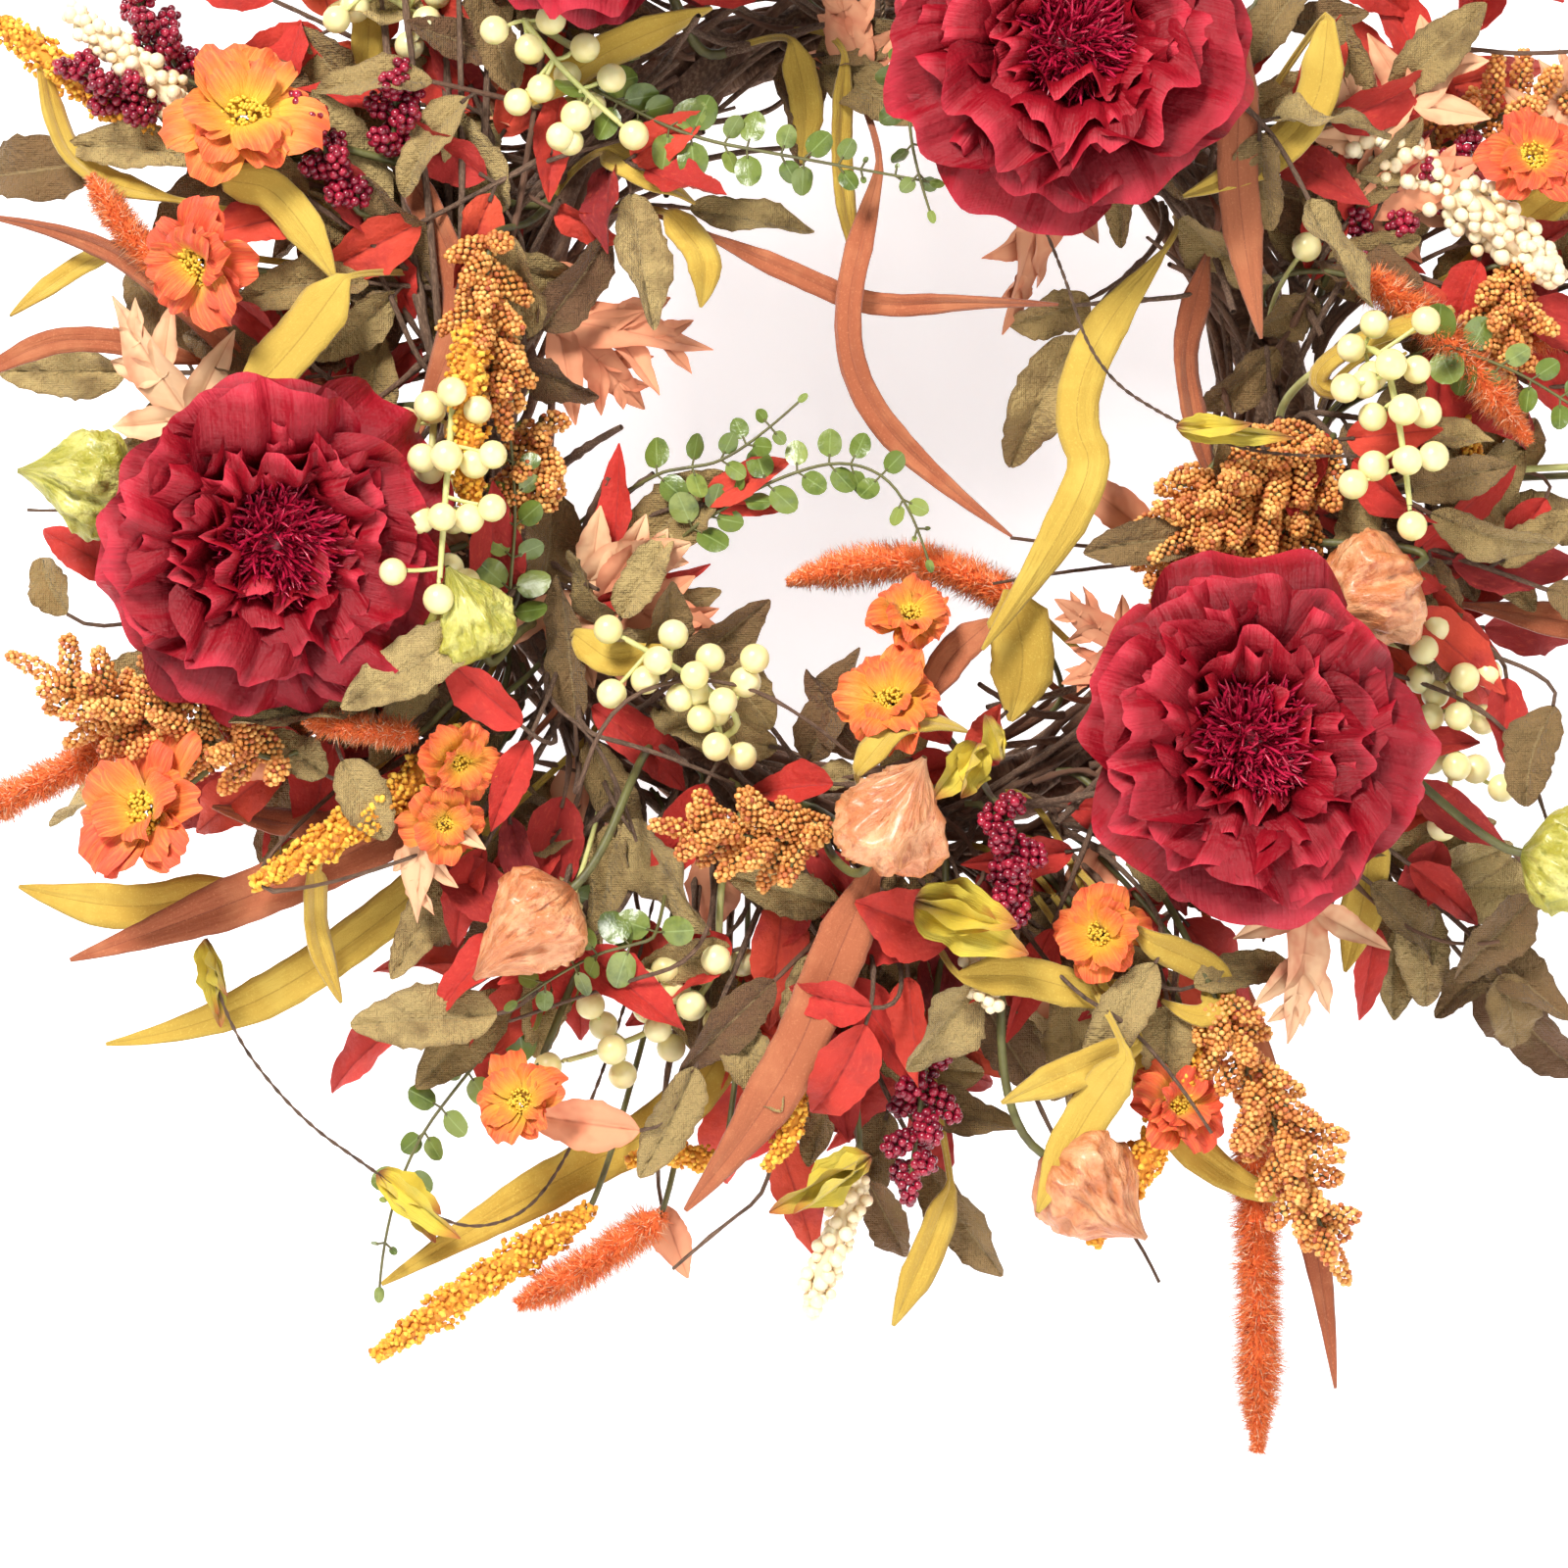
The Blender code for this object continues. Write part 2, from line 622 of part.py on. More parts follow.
def straps():
    mustard, rust = "mustard_strap", "rust_strap"
    curl = [(31, -19, 76), (20, -62, 78), (356, -76, 78), (342, -60, 78), (292, -50, 78)]
    for name, material, clock, side, path, width in (
        ("mustard_strap_1", mustard, 36, FRONT_INNER, curl, 0.014),
        ("mustard_strap_2", mustard, 228, FACE,
         [(227, 40, 48), (225, 130, 50), (222, 184, 50), (219, 212, 50)], 0.016),
        ("mustard_strap_3", mustard, 292, FACE,
         [(293, 60, 60), (291, 130, 62), (297, 176, 62), (300, 160, 66)], 0.014),
        ("mustard_strap_4", mustard, 257, FACE,
         [(257, 34, 44), (256, 110, 44), (246, 158, 44), (240, 214, 44)], 0.016),
        ("mustard_strap_5", mustard, 106, OUTER, [(108, 60, 30), (112, 120, 32), (106, 200, 30)], 0.016),
        ("rust_strap_1", rust, 270, FACE,
         [(270, 10, 80), (265, 50, 84), (261, 104, 84), (256, 146, 82)], 0.018),
        ("rust_strap_2", rust, 222, FACE, [(223, 60, 68), (217, 150, 70), (214, 202, 70)], 0.018),
        ("rust_strap_3", rust, 305, OUTER,
         [(303, 80, 34), (299, 150, 34), (298, 190, 34), (295, 240, 34)], 0.012),
    ):
        strap_leaf(name, material, stem_corners(clock, side, path), width)


def leaf_sprays():
    felt, red = "felt_leaf", "red_leaf"
    two = (0.45, 0.70)
    for name, material, clock, side, path, joints, long, wide in (
        ("felt_leaves_1", felt, 143, FACE, [(148, 50, 46), (156, 100, 46), (162, 150, 46)], two, 1.0, 1.0),
        ("felt_leaves_2", felt, 204, OUTER, [(207, 50, 38), (208, 96, 38), (206, 136, 38)], two, 1.0, 1.0),
        ("felt_leaves_3", felt, 50, FRONT_OUTER,
         [(46, 14, 80), (38, 26, 90), (26, 22, 92)], (0.7,), 0.8, 0.9),
        ("felt_leaves_4", felt, 322, OUTER, [(320, 70, 26), (318, 110, 26), (317, 150, 26)], two, 1.0, 1.0),
        ("felt_leaves_5", felt, 14, OUTER, [(14, 60, 26), (11, 110, 26), (9, 150, 26)], two, 1.0, 1.0),
        ("red_leaves_1", red, 133, FACE, [(137, 4, 66), (146, 10, 72), (158, 34, 72)], (0.72,), 0.8, 0.8),
        ("red_leaves_2", red, 240, OUTER, [(238, 60, 30), (236, 95, 30), (232, 130, 30)], two, 0.85, 0.8),
        ("red_leaves_3", red, 72, OUTER, [(71, 60, 24), (72, 110, 24), (76, 158, 24)], two, 1.0, 1.0),
    ):
        corners = stem_corners(clock, side, path)
        leaf_spray(name, material, corners, joints, LEAF_LENGTH * long, LEAF_WIDTH * wide)
    hanging = stem_corners(245.5, FACE, [(242, 50, 52), (238, 120, 53), (237, 180, 53), (240, 214, 53)])
    joints = (0.50, 0.64, 0.78, 0.90)
    leaf_spray(
        "eucalyptus_1", "eucalyptus_leaf", hanging, joints, COIN_LEAF, COIN_LEAF * 0.7, lean=70, curl=0.0
    )


clear_scene()
grapevine_ring()
hanger()
peonies()
pods()
small_flowers()
berries()
clusters()
spikes()
straps()
leaf_sprays()
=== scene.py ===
"""Looks of the harvest door wreath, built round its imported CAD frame.

Places are given in two ways. spot(clock, offset, depth) is the CAD model's way: the clock angle in
degrees round the ring, then millimetres outside the ring's centreline and in front of the door's face.
at(right, up, depth) is in millimetres from the middle of the ring, again in front of the door's face.
"""

import json
import math

import bpy
import numpy as np
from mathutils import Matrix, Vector, noise


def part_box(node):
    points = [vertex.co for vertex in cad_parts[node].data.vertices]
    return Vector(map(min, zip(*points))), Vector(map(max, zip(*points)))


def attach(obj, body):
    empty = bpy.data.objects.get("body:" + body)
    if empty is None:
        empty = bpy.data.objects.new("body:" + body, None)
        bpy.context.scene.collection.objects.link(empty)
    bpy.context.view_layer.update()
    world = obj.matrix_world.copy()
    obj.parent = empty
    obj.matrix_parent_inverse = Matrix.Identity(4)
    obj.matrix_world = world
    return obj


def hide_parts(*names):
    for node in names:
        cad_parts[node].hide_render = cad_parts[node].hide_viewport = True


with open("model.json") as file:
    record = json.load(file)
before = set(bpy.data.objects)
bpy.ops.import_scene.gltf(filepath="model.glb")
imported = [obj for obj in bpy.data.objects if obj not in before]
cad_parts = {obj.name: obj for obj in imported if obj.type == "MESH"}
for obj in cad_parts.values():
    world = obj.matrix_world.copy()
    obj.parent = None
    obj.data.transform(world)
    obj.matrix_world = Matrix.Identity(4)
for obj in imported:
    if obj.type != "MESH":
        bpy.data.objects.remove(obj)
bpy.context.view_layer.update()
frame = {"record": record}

MM = 0.001
TAU = 2 * math.pi

# Driving sizes of the frame, in metres
RING_RADIUS = 0.140
STRAND_RADIUS, STRAND_ORBIT, STRAND_TURNS = 0.0056, 0.007275, 4
BINDING_RADIUS, BINDING_ORBIT, BINDING_TURNS = 0.0019, 0.015475, 7
TIE_ORBIT = 0.019775  # where a stem lies on the bundled vines
STEM_RADIUS = 0.0015
PEONY_RADIUS = 0.058
CALYX_HEIGHT = 0.0063
PEONY_FLOOR = 0.0163
POD_LENGTH = 0.046
BERRY_RADIUS = 0.0052
FRONT = np.array((0.0, -1.0, 0.0))
DOOR_GAP = -0.0003  # nothing on the wreath reaches nearer to the door than this
OUTER, FRONT_OUTER, FACE, FRONT_INNER, INNER = 0, 45, 90, 135, 175

strands = [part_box(f"grapevine_strand_{k}") for k in (1, 2, 3)]
ring_low = np.min([low for low, _ in strands], axis=0)
ring_high = np.max([high for _, high in strands], axis=0)
RING_MIDDLE = (ring_low + ring_high) / 2
RING_DEPTH = -RING_MIDDLE[1]
CENTRE = np.array((RING_MIDDLE[0], 0.0, RING_MIDDLE[2]))


# ---- camera, light and room

CAMERA_SIDE = -0.035
CAMERA_DROP = 0.130
CAMERA_AWAY = 1.95
CAMERA_LENS = 124  # in millimetres, on a sensor 36 wide


def aim(thing, target):
    way = Vector(target) - thing.location
    thing.rotation_euler = way.to_track_quat("-Z", "Y").to_euler()


def place_camera():
    """Straight on, a little left of the hook and below the middle of the ring."""
    data = bpy.data.cameras.new("camera")
    data.sensor_width = 36
    data.lens = CAMERA_LENS
    camera = bpy.data.objects.new("camera", data)
    bpy.context.scene.collection.objects.link(camera)
    camera.location = (CAMERA_SIDE, -CAMERA_AWAY, CENTRE[2] - CAMERA_DROP)
    aim(camera, (CAMERA_SIDE, 0, CENTRE[2] - CAMERA_DROP))
    bpy.context.scene.camera = camera


def area_light(name, location, size, power, colour=(1, 1, 1)):
    data = bpy.data.lights.new(name, "AREA")
    data.size = size
    data.energy = power
    data.color = colour
    light = bpy.data.objects.new(name, data)
    light.location = location
    aim(light, (0, 0, CENTRE[2]))
    bpy.context.scene.collection.objects.link(light)


def room():
    """A pale sweep behind and under the wreath. Its back lets the eye through."""
    rows = []
    wall, floor, bend = 0.16, -1.3, 0.5
    for k in range(13):
        angle = math.pi / 2 * k / 12
        rows.append((wall - bend * (1 - math.cos(angle)), floor + bend * (1 - math.sin(angle))))
    profile = [(wall, 2.6)] + rows + [(-6.0, floor)]
    mesh = bpy.data.meshes.new("sweep")
    points = [(x, y, z) for y, z in profile for x in (-4, 4)]
    faces = [(2 * k, 2 * k + 1, 2 * k + 3, 2 * k + 2) for k in range(len(profile) - 1)]
    mesh.from_pydata(points, [], faces)
    material = bpy.data.materials.new("sweep")
    material.use_nodes = True
    tree = material.node_tree
    shader = tree.nodes["Principled BSDF"]
    shader.inputs["Base Color"].default_value = (0.93, 0.93, 0.95, 1)
    shader.inputs["Roughness"].default_value = 0.9
    shader.inputs["Emission Color"].default_value = (1, 1, 1, 1)
    shader.inputs["Emission Strength"].default_value = 0.42
    side = tree.nodes.new("ShaderNodeNewGeometry")
    clear = tree.nodes.new("ShaderNodeBsdfTransparent")
    mix = tree.nodes.new("ShaderNodeMixShader")
    tree.links.new(side.outputs["Backfacing"], mix.inputs[0])
    tree.links.new(shader.outputs[0], mix.inputs[1])
    tree.links.new(clear.outputs[0], mix.inputs[2])
    tree.links.new(mix.outputs[0], tree.nodes["Material Output"].inputs["Surface"])
    mesh.materials.append(material)
    mesh.update()
    if mesh.polygons[0].normal.y > 0:
        mesh.flip_normals()
    sweep = bpy.data.objects.new("sweep", mesh)
    bpy.context.scene.collection.objects.link(sweep)


def lights():
    world = bpy.data.worlds.new("world")
    world.use_nodes = True
    world.node_tree.nodes["Background"].inputs["Color"].default_value = (0.95, 0.96, 1, 1)
    world.node_tree.nodes["Background"].inputs["Strength"].default_value = 0.20
    bpy.context.scene.world = world
    area_light("key", (-0.9, -2.0, 1.3), 0.7, 103, (1, 0.985, 0.96))
    area_light("fill", (1.7, -1.9, 0.0), 1.6, 24)
    area_light("back", (0.6, 1.6, 1.4), 1.6, 16)
    bpy.context.scene.view_settings.view_transform = "Standard"


# ---- materials


class Paint:
    """A procedural material, built up in layers of colour and of relief."""

    def __init__(self, name, colour, roughness, sheen=0.0, coat=0.0, soft=0.0):
        self.material = bpy.data.materials.new(name)
        self.material.use_nodes = True
        self.tree = self.material.node_tree
        self.shader = self.tree.nodes["Principled BSDF"]
        self.colour = (*colour, 1)
        self.height = None
        self.shader.inputs["Roughness"].default_value = roughness
        self.shader.inputs["Sheen Weight"].default_value = sheen
        self.shader.inputs["Sheen Roughness"].default_value = 0.4
        self.shader.inputs["Coat Weight"].default_value = coat
        self.shader.inputs["Coat Roughness"].default_value = 0.25
        if soft:
            self.shader.inputs["Subsurface Weight"].default_value = soft
            self.shader.inputs["Subsurface Radius"].default_value = (0.004, 0.0022, 0.0012)
            self.shader.inputs["Subsurface Scale"].default_value = 1.0

    def add(self, kind, values, **settings):
        node = self.tree.nodes.new("ShaderNode" + kind)
        for key, value in settings.items():
            setattr(node, key, value)
        for key, value in values.items():
            if isinstance(value, bpy.types.NodeSocket):
                self.tree.links.new(value, node.inputs[key])
            else:
                node.inputs[key].default_value = value
        return node

    def read(self, name):
        return self.add("Attribute", {}, attribute_name=name).outputs["Fac"]

    def math(self, kind, a, b=0.0):
        return self.add("Math", {0: a, 1: b}, operation=kind).outputs[0]

    def fit(self, value, low, high, to_low=0.0, to_high=1.0):
        values = {"Value": value, "From Min": low, "From Max": high, "To Min": to_low, "To Max": to_high}
        return self.add("MapRange", values).outputs[0]

    def noise(self, scale, detail=3.0, vector=None):
        if vector is None:
            vector = self.add("TexCoord", {}).outputs["Object"]
        values = {"Vector": vector, "Scale": scale, "Detail": detail, "Roughness": 0.6}
        return self.add("TexNoise", values).outputs[0]

    def streak(self, across, along, detail=3.0):
        """Noise that runs in lines along the piece."""
        values = {
            "X": self.math("MULTIPLY", self.read("across"), across),
            "Y": self.math("MULTIPLY", self.read("along"), along),
            "Z": self.math("MULTIPLY", self.read("tone"), 40.0),
        }
        return self.noise(1.0, detail, self.add("CombineXYZ", values).outputs[0])

    def lay(self, colour, share):
        """Lays a colour over what is there, by a share from 0 to 1."""
        values = {"Fac": share, "Color1": self.colour, "Color2": (*colour, 1)}
        self.colour = self.add("MixRGB", values).outputs[0]
        return self

    def tones(self, colour, low=0.0, high=1.0):
        return self.lay(colour, self.fit(self.read("tone"), low, high))

    def mottle(self, colour, scale, low=0.4, high=0.65):
        return self.lay(colour, self.fit(self.noise(scale), low, high))

    def edges(self, colour, start, amount):
        edge = self.math("ABSOLUTE", self.read("across"))
        return self.lay(colour, self.fit(edge, start, 1.0, 0.0, amount))

    def ends(self, colour, start, stop, amount=1.0):
        return self.lay(colour, self.fit(self.read("along"), start, stop, 0.0, amount))

    def streaks(self, colour, across, along, low=0.45, high=0.65, amount=1.0):
        return self.lay(colour, self.fit(self.streak(across, along), low, high, 0.0, amount))

    def rib(self, colour, width, amount):
        edge = self.math("ABSOLUTE", self.read("across"))
        return self.lay(colour, self.fit(edge, width, 0.0, 0.0, amount))

    def raise_by(self, height, amount):
        """Adds relief, in metres."""
        height = self.math("MULTIPLY", height, amount)
        self.height = height if self.height is None else self.math("ADD", self.height, height)
        return self

    def weave(self, scale, amount):
        """Crossed threads."""
        vector = self.add("TexCoord", {}).outputs["Object"]
        threads = []
        for way in ("X", "Z"):
            values = {"Vector": vector, "Scale": scale, "Distortion": 0.6}
            threads.append(self.add("TexWave", values, bands_direction=way).outputs[1])
        return self.raise_by(self.math("MAXIMUM", *threads), amount)

    def done(self):
        socket = self.shader.inputs["Base Color"]
        if isinstance(self.colour, tuple):
            socket.default_value = self.colour
        else:
            self.tree.links.new(self.colour, socket)
        if self.height is not None:
            bump = self.add("Bump", {"Height": self.height, "Strength": 1.0, "Distance": 1.0})
            self.tree.links.new(bump.outputs[0], self.shader.inputs["Normal"])
        return self.material


def make_materials():
    made = {}

    bark = Paint("grapevine", (0.165, 0.092, 0.056), 0.85)
    bark.streaks((0.33, 0.205, 0.130), 5, 60).mottle((0.055, 0.031, 0.021), 150, 0.55, 0.75)
    bark.tones((0.24, 0.115, 0.066), 0.5, 1.0)
    bark.raise_by(bark.streak(9, 90), 0.0012).raise_by(bark.noise(900), 0.0003)
    made["grapevine"] = bark.done()

    wire = Paint("hanger_wire", (0.12, 0.085, 0.055), 0.5)
    wire.mottle((0.22, 0.15, 0.09), 700)
    wire.shader.inputs["Metallic"].default_value = 0.8
    wire.raise_by(wire.noise(2500), 0.00006)
    made["hanger_wire"] = wire.done()

    petal = Paint("peony_petal", (0.275, 0.0012, 0.0095), 0.46)
    petal.shader.inputs["Specular IOR Level"].default_value = 0.35
    petal.tones((0.19, 0.0008, 0.0065), 0.5, 1.0).streaks((0.40, 0.004, 0.020), 15, 1.3, 0.48, 0.74, 0.35)
    # The dark ramp towards each petal's foot is painted shade between the layers, and the pale band at its
    # rim is a painted highlight.
    petal.ends((0.018, 0.0004, 0.0015), 0.84, 0.26, 0.95).ends((0.60, 0.026, 0.052), 0.90, 0.99, 0.75)
    petal.raise_by(petal.streak(15, 1.5, 2.0), 0.0009).raise_by(petal.noise(170, 2.0), 0.0013)
    petal.weave(700, 0.00009)
    made["peony_petal"] = petal.done()

    stamen = Paint("stamen", (0.32, 0.004, 0.026), 0.32, coat=0.3)
    stamen.tones((0.52, 0.014, 0.060), 0.3, 0.9).ends((0.12, 0.001, 0.010), 0.25, 0.0)
    made["stamen"] = stamen.done()

    pale = Paint("pale_stem", (0.62, 0.60, 0.24), 0.45, soft=0.1)
    pale.mottle((0.50, 0.52, 0.17), 130).raise_by(pale.noise(900), 0.0002)
    made["pale_stem"] = pale.done()

    stem = Paint("green_stem", (0.13, 0.125, 0.035), 0.5)
    stem.mottle((0.085, 0.075, 0.024), 120).raise_by(stem.noise(900), 0.0002)
    made["green_stem"] = stem.done()

    for name, colour, pale, dark in (
        ("orange_pod", (0.60, 0.200, 0.070), (0.84, 0.43, 0.21), (0.38, 0.080, 0.026)),
        ("green_pod", (0.42, 0.38, 0.045), (0.70, 0.65, 0.19), (0.19, 0.20, 0.018)),
    ):
        pod = Paint(name, colour, 0.36, coat=0.35, soft=0.10)
        # The pale streaks and blotches are partly the pods' own paler paper and partly painted highlight on
        # their crumpled ribs.
        pod.streaks(pale, 6, 4, 0.46, 0.66, 0.75).mottle(pale, 70, 0.50, 0.68)
        pod.streaks(dark, 10, 7, 0.56, 0.70, 0.75).ends(dark, 0.16, 0.0, 0.8)
        pod.raise_by(pod.streak(7, 6, 5.0), 0.0026).raise_by(pod.noise(300, 5.0), 0.0011)
        made[name] = pod.done()

    flower = Paint("orange_flower", (0.90, 0.40, 0.030), 0.6, sheen=0.1)
    flower.ends((0.84, 0.12, 0.030), 0.30, 0.90).tones((0.80, 0.085, 0.030), 0.45, 1.0)
    flower.streaks((0.94, 0.50, 0.09), 7, 1.4, 0.48, 0.72, 0.35).ends((0.92, 0.55, 0.04), 0.55, 0.15, 0.9)
    flower.raise_by(flower.streak(14, 2), 0.0010)
    made["orange_flower"] = flower.done()

    eye = Paint("flower_eye", (0.74, 0.46, 0.03), 0.6)
    eye.tones((0.020, 0.012, 0.008), 0.6, 0.62).mottle((0.75, 0.50, 0.05), 900)
    made["flower_eye"] = eye.done()

    berry = Paint("cream_berry", (0.80, 0.70, 0.31), 0.33, coat=0.25, soft=0.25)
    berry.mottle((0.86, 0.78, 0.42), 90).ends((0.66, 0.62, 0.22), 0.12, 0.0)
    berry.raise_by(berry.noise(800), 0.00006)
    made["cream_berry"] = berry.done()

    bead = Paint("cream_bead", (0.88, 0.68, 0.42), 0.38, coat=0.2, soft=0.15)
    bead.tones((0.92, 0.80, 0.54)).mottle((0.86, 0.56, 0.36), 90, 0.58, 0.75)
    bead.raise_by(bead.noise(900), 0.00006)
    made["cream_bead"] = bead.done()

    wine = Paint("burgundy_bead", (0.25, 0.004, 0.022), 0.26, coat=0.4)
    wine.tones((0.42, 0.012, 0.042)).mottle((0.12, 0.003, 0.016), 160)
    wine.raise_by(wine.noise(900), 0.00006)
    made["burgundy_bead"] = wine.done()

    grain = Paint("sorghum_bead", (0.72, 0.28, 0.055), 0.55)
    grain.tones((0.90, 0.52, 0.15), 0.35, 0.9).tones((0.40, 0.075, 0.030), 0.22, 0.0)
    grain.mottle((0.56, 0.16, 0.045), 110, 0.5, 0.7).raise_by(grain.noise(1500), 0.0001)
    made["sorghum_bead"] = grain.done()

    floss = Paint("gold_floss", (0.86, 0.38, 0.025), 0.75, sheen=0.1)
    floss.tones((0.95, 0.60, 0.075), 0.4, 1.0).tones((0.58, 0.19, 0.018), 0.3, 0.0)
    floss.raise_by(floss.noise(2200), 0.0002)
    made["gold_floss"] = floss.done()

    fuzz = Paint("orange_fuzz", (0.95, 0.20, 0.035), 0.7, sheen=0.1)
    fuzz.ends((0.98, 0.34, 0.09), 0.4, 1.0, 0.7).tones((1.0, 0.66, 0.40), 0.86, 0.90)
    fuzz.tones((0.72, 0.09, 0.015), 0.25, 0.05)
    fuzz.raise_by(fuzz.noise(2600), 0.0002)
    made["orange_fuzz"] = fuzz.done()

    for name, colour, light, dark in (
        ("mustard_strap", (0.50, 0.315, 0.038), (0.60, 0.42, 0.070), (0.32, 0.19, 0.022)),
        ("rust_strap", (0.36, 0.094, 0.034), (0.48, 0.165, 0.068), (0.19, 0.045, 0.022)),
    ):
        strap = Paint(name, colour, 0.82, sheen=0.35)
        strap.tones(light, 0.5, 1.0).tones(dark, 0.32, 0.0).mottle(light, 45, 0.5, 0.7)
        strap.rib(dark, 0.045, 0.75).edges(dark, 0.88, 0.4).ends(dark, 0.10, 0.0, 0.6)
        strap.mottle(light, 1300, 0.56, 0.70)
        strap.raise_by(strap.noise(2400, 4.0), 0.00022).raise_by(strap.streak(4, 12), 0.0006)
        made[name] = strap.done()

    felt = Paint("felt_leaf", (0.345, 0.230, 0.080), 0.78, sheen=0.08)
    felt.tones((0.56, 0.410, 0.165), 0.5, 1.0).tones((0.155, 0.072, 0.028), 0.45, 0.05)
    felt.mottle((0.18, 0.110, 0.036), 70, 0.5, 0.75).rib((0.42, 0.31, 0.14), 0.07, 0.6)
    felt.edges((0.13, 0.072, 0.026), 0.8, 0.5).weave(420, 0.00034).raise_by(felt.noise(1800), 0.0002)
    felt.raise_by(felt.noise(230, 4.0), 0.0024).raise_by(felt.noise(620, 1.0), 0.0017)
    made["felt_leaf"] = felt.done()

    red = Paint("red_leaf", (0.56, 0.024, 0.014), 0.60, sheen=0.05)
    red.tones((0.72, 0.085, 0.030), 0.6, 1.0).tones((0.20, 0.005, 0.008), 0.4, 0.0)
    red.mottle((0.42, 0.022, 0.015), 60, 0.5, 0.72).rib((0.32, 0.015, 0.012), 0.07, 0.6)
    red.streaks((0.78, 0.11, 0.05), 10, 12, 0.55, 0.75, 0.4).weave(800, 0.00014)
    red.raise_by(red.noise(200, 3.0), 0.0014)
    made["red_leaf"] = red.done()

    peach = Paint("peach_leaf", (0.82, 0.34, 0.18), 0.75, sheen=0.1)
    peach.tones((0.93, 0.60, 0.34), 0.4, 1.0).mottle((0.66, 0.17, 0.08), 50, 0.52, 0.75)
    peach.rib((0.58, 0.16, 0.08), 0.07, 0.6).edges((0.62, 0.16, 0.07), 0.7, 0.4).weave(800, 0.00012)
    made["peach_leaf"] = peach.done()

    bud = Paint("bud_leaf", (0.70, 0.53, 0.045), 0.7, sheen=0.2)
    bud.mottle((0.52, 0.42, 0.05), 60).ends((0.50, 0.12, 0.02), 0.72, 1.0)
    bud.ends((0.36, 0.07, 0.02), 0.12, 0.0).raise_by(bud.streak(14, 3), 0.0006)
    made["bud_leaf"] = bud.done()

    coin = Paint("eucalyptus_leaf", (0.125, 0.175, 0.026), 0.3, coat=0.3, soft=0.10)
    coin.tones((0.25, 0.30, 0.065), 0.4, 1.0).mottle((0.070, 0.110, 0.014), 120, 0.5, 0.7)
    coin.rib((0.34, 0.44, 0.17), 0.08, 0.5).raise_by(coin.noise(500), 0.0003)
    made["eucalyptus_leaf"] = coin.done()
    return made


# ---- places and paths


def unit(v):
    return v / np.maximum(np.linalg.norm(v, axis=-1, keepdims=True), 1e-9)


def outward(clock):
    return np.array((math.cos(math.radians(clock)), 0, math.sin(math.radians(clock))))


def spot(clock, offset, depth):
    return CENTRE + outward(clock) * (RING_RADIUS + offset * MM) + FRONT * (depth * MM)


def at(right, up, depth):
    return CENTRE + np.array((right, -depth, up)) * MM


def on_vine(clock, side, orbit):
    out = outward(clock) * (RING_RADIUS + orbit * math.cos(math.radians(side)))
    return CENTRE + out + FRONT * (RING_DEPTH + orbit * math.sin(math.radians(side)))


def stem_corners(clock, side, path):
    """The tied end of a stem along the vine, then its spots, as in the CAD model."""
    tied = [on_vine(clock - 4, side, TIE_ORBIT), on_vine(clock, side, TIE_ORBIT)]
    return tied + [spot(*place) for place in path]


def gaps(points):
    return np.linalg.norm(np.diff(points, axis=0), axis=1)


def tied_path(root, *more):
    """A stem that leaves the vine near the root and passes through the points."""
    root = np.asarray(root)
    flat = root - CENTRE
    clock = math.degrees(math.atan2(flat[2], flat[0]))
    reach = math.hypot(flat[0], flat[2])
    lean = 9 if reach > RING_RADIUS else -9
    side = 40 if reach > RING_RADIUS + 0.02 else 140 if reach < RING_RADIUS - 0.02 else 90
    tied = [on_vine(clock - lean, side, TIE_ORBIT), on_vine(clock - lean * 0.5, side, TIE_ORBIT + 0.004)]
    return tied + [root, *more]


def rooted(spots, run):
    """A path from the vine through the spots, and the share of it that is bare stalk."""
    corners = tied_path(spots[0] + (spots[0] - spots[1]) * run, *spots)
    steps = gaps(corners)
    return corners, steps[:2].sum() / steps.sum()


def curve(corners, count):
    """Evenly spaced points of the quadratic curve that rounds the corners."""
    corners = [np.asarray(c, float) for c in corners]
    dense = [corners[0]]
    if len(corners) == 2:
        dense.append(corners[1])
    for i in range(1, len(corners) - 1):
        first = corners[0] if i == 1 else (corners[i - 1] + corners[i]) / 2
        last = corners[-1] if i == len(corners) - 2 else (corners[i] + corners[i + 1]) / 2
        for k in range(1, 13):
            t = k / 12
            dense.append(first * (1 - t) ** 2 + corners[i] * (2 * t * (1 - t)) + last * t**2)
    dense = np.array(dense)
    length = np.r_[0, np.cumsum(gaps(dense))]
    even = np.linspace(0, length[-1], count)
    return np.stack([np.interp(even, length, dense[:, k]) for k in range(3)], 1)


def frames(points):
    """Directions, sideways ways and normals of a path, with its face kept to the front if it can."""
    along = unit(np.gradient(points, axis=0))
    side = np.empty_like(along)
    last = None
    for i, way in enumerate(along):
        flat = np.cross(way, FRONT)
        if np.linalg.norm(flat) > 0.3 or last is None:
            flat = unit(flat)
            if last is not None and flat @ last < 0:
                flat = -flat
        else:
            flat = unit(last - way * (last @ way))
        side[i] = last = flat
    return along, side, np.cross(side, along)


def round_loop(points, middle):
    """Two directions square to each point of a closed path, the first of them away from its middle."""
    ahead = unit(np.roll(points, -1, 0) - np.roll(points, 1, 0))
    away = points - middle
    side = unit(away - ahead * (away * ahead).sum(1, keepdims=True))
    return side, np.cross(ahead, side)


def rings(side, other, angle):
    """Directions at each angle round each point of a path."""
    return side[:, None] * np.cos(angle)[None, :, None] + other[:, None] * np.sin(angle)[None, :, None]


def fan(one, two, turn):
    """One direction for each turn from one towards two."""
    return one * np.cos(turn)[:, None] + two * np.sin(turn)[:, None]


def turned(one, two, turn):
    return one * math.cos(turn) + two * math.sin(turn)


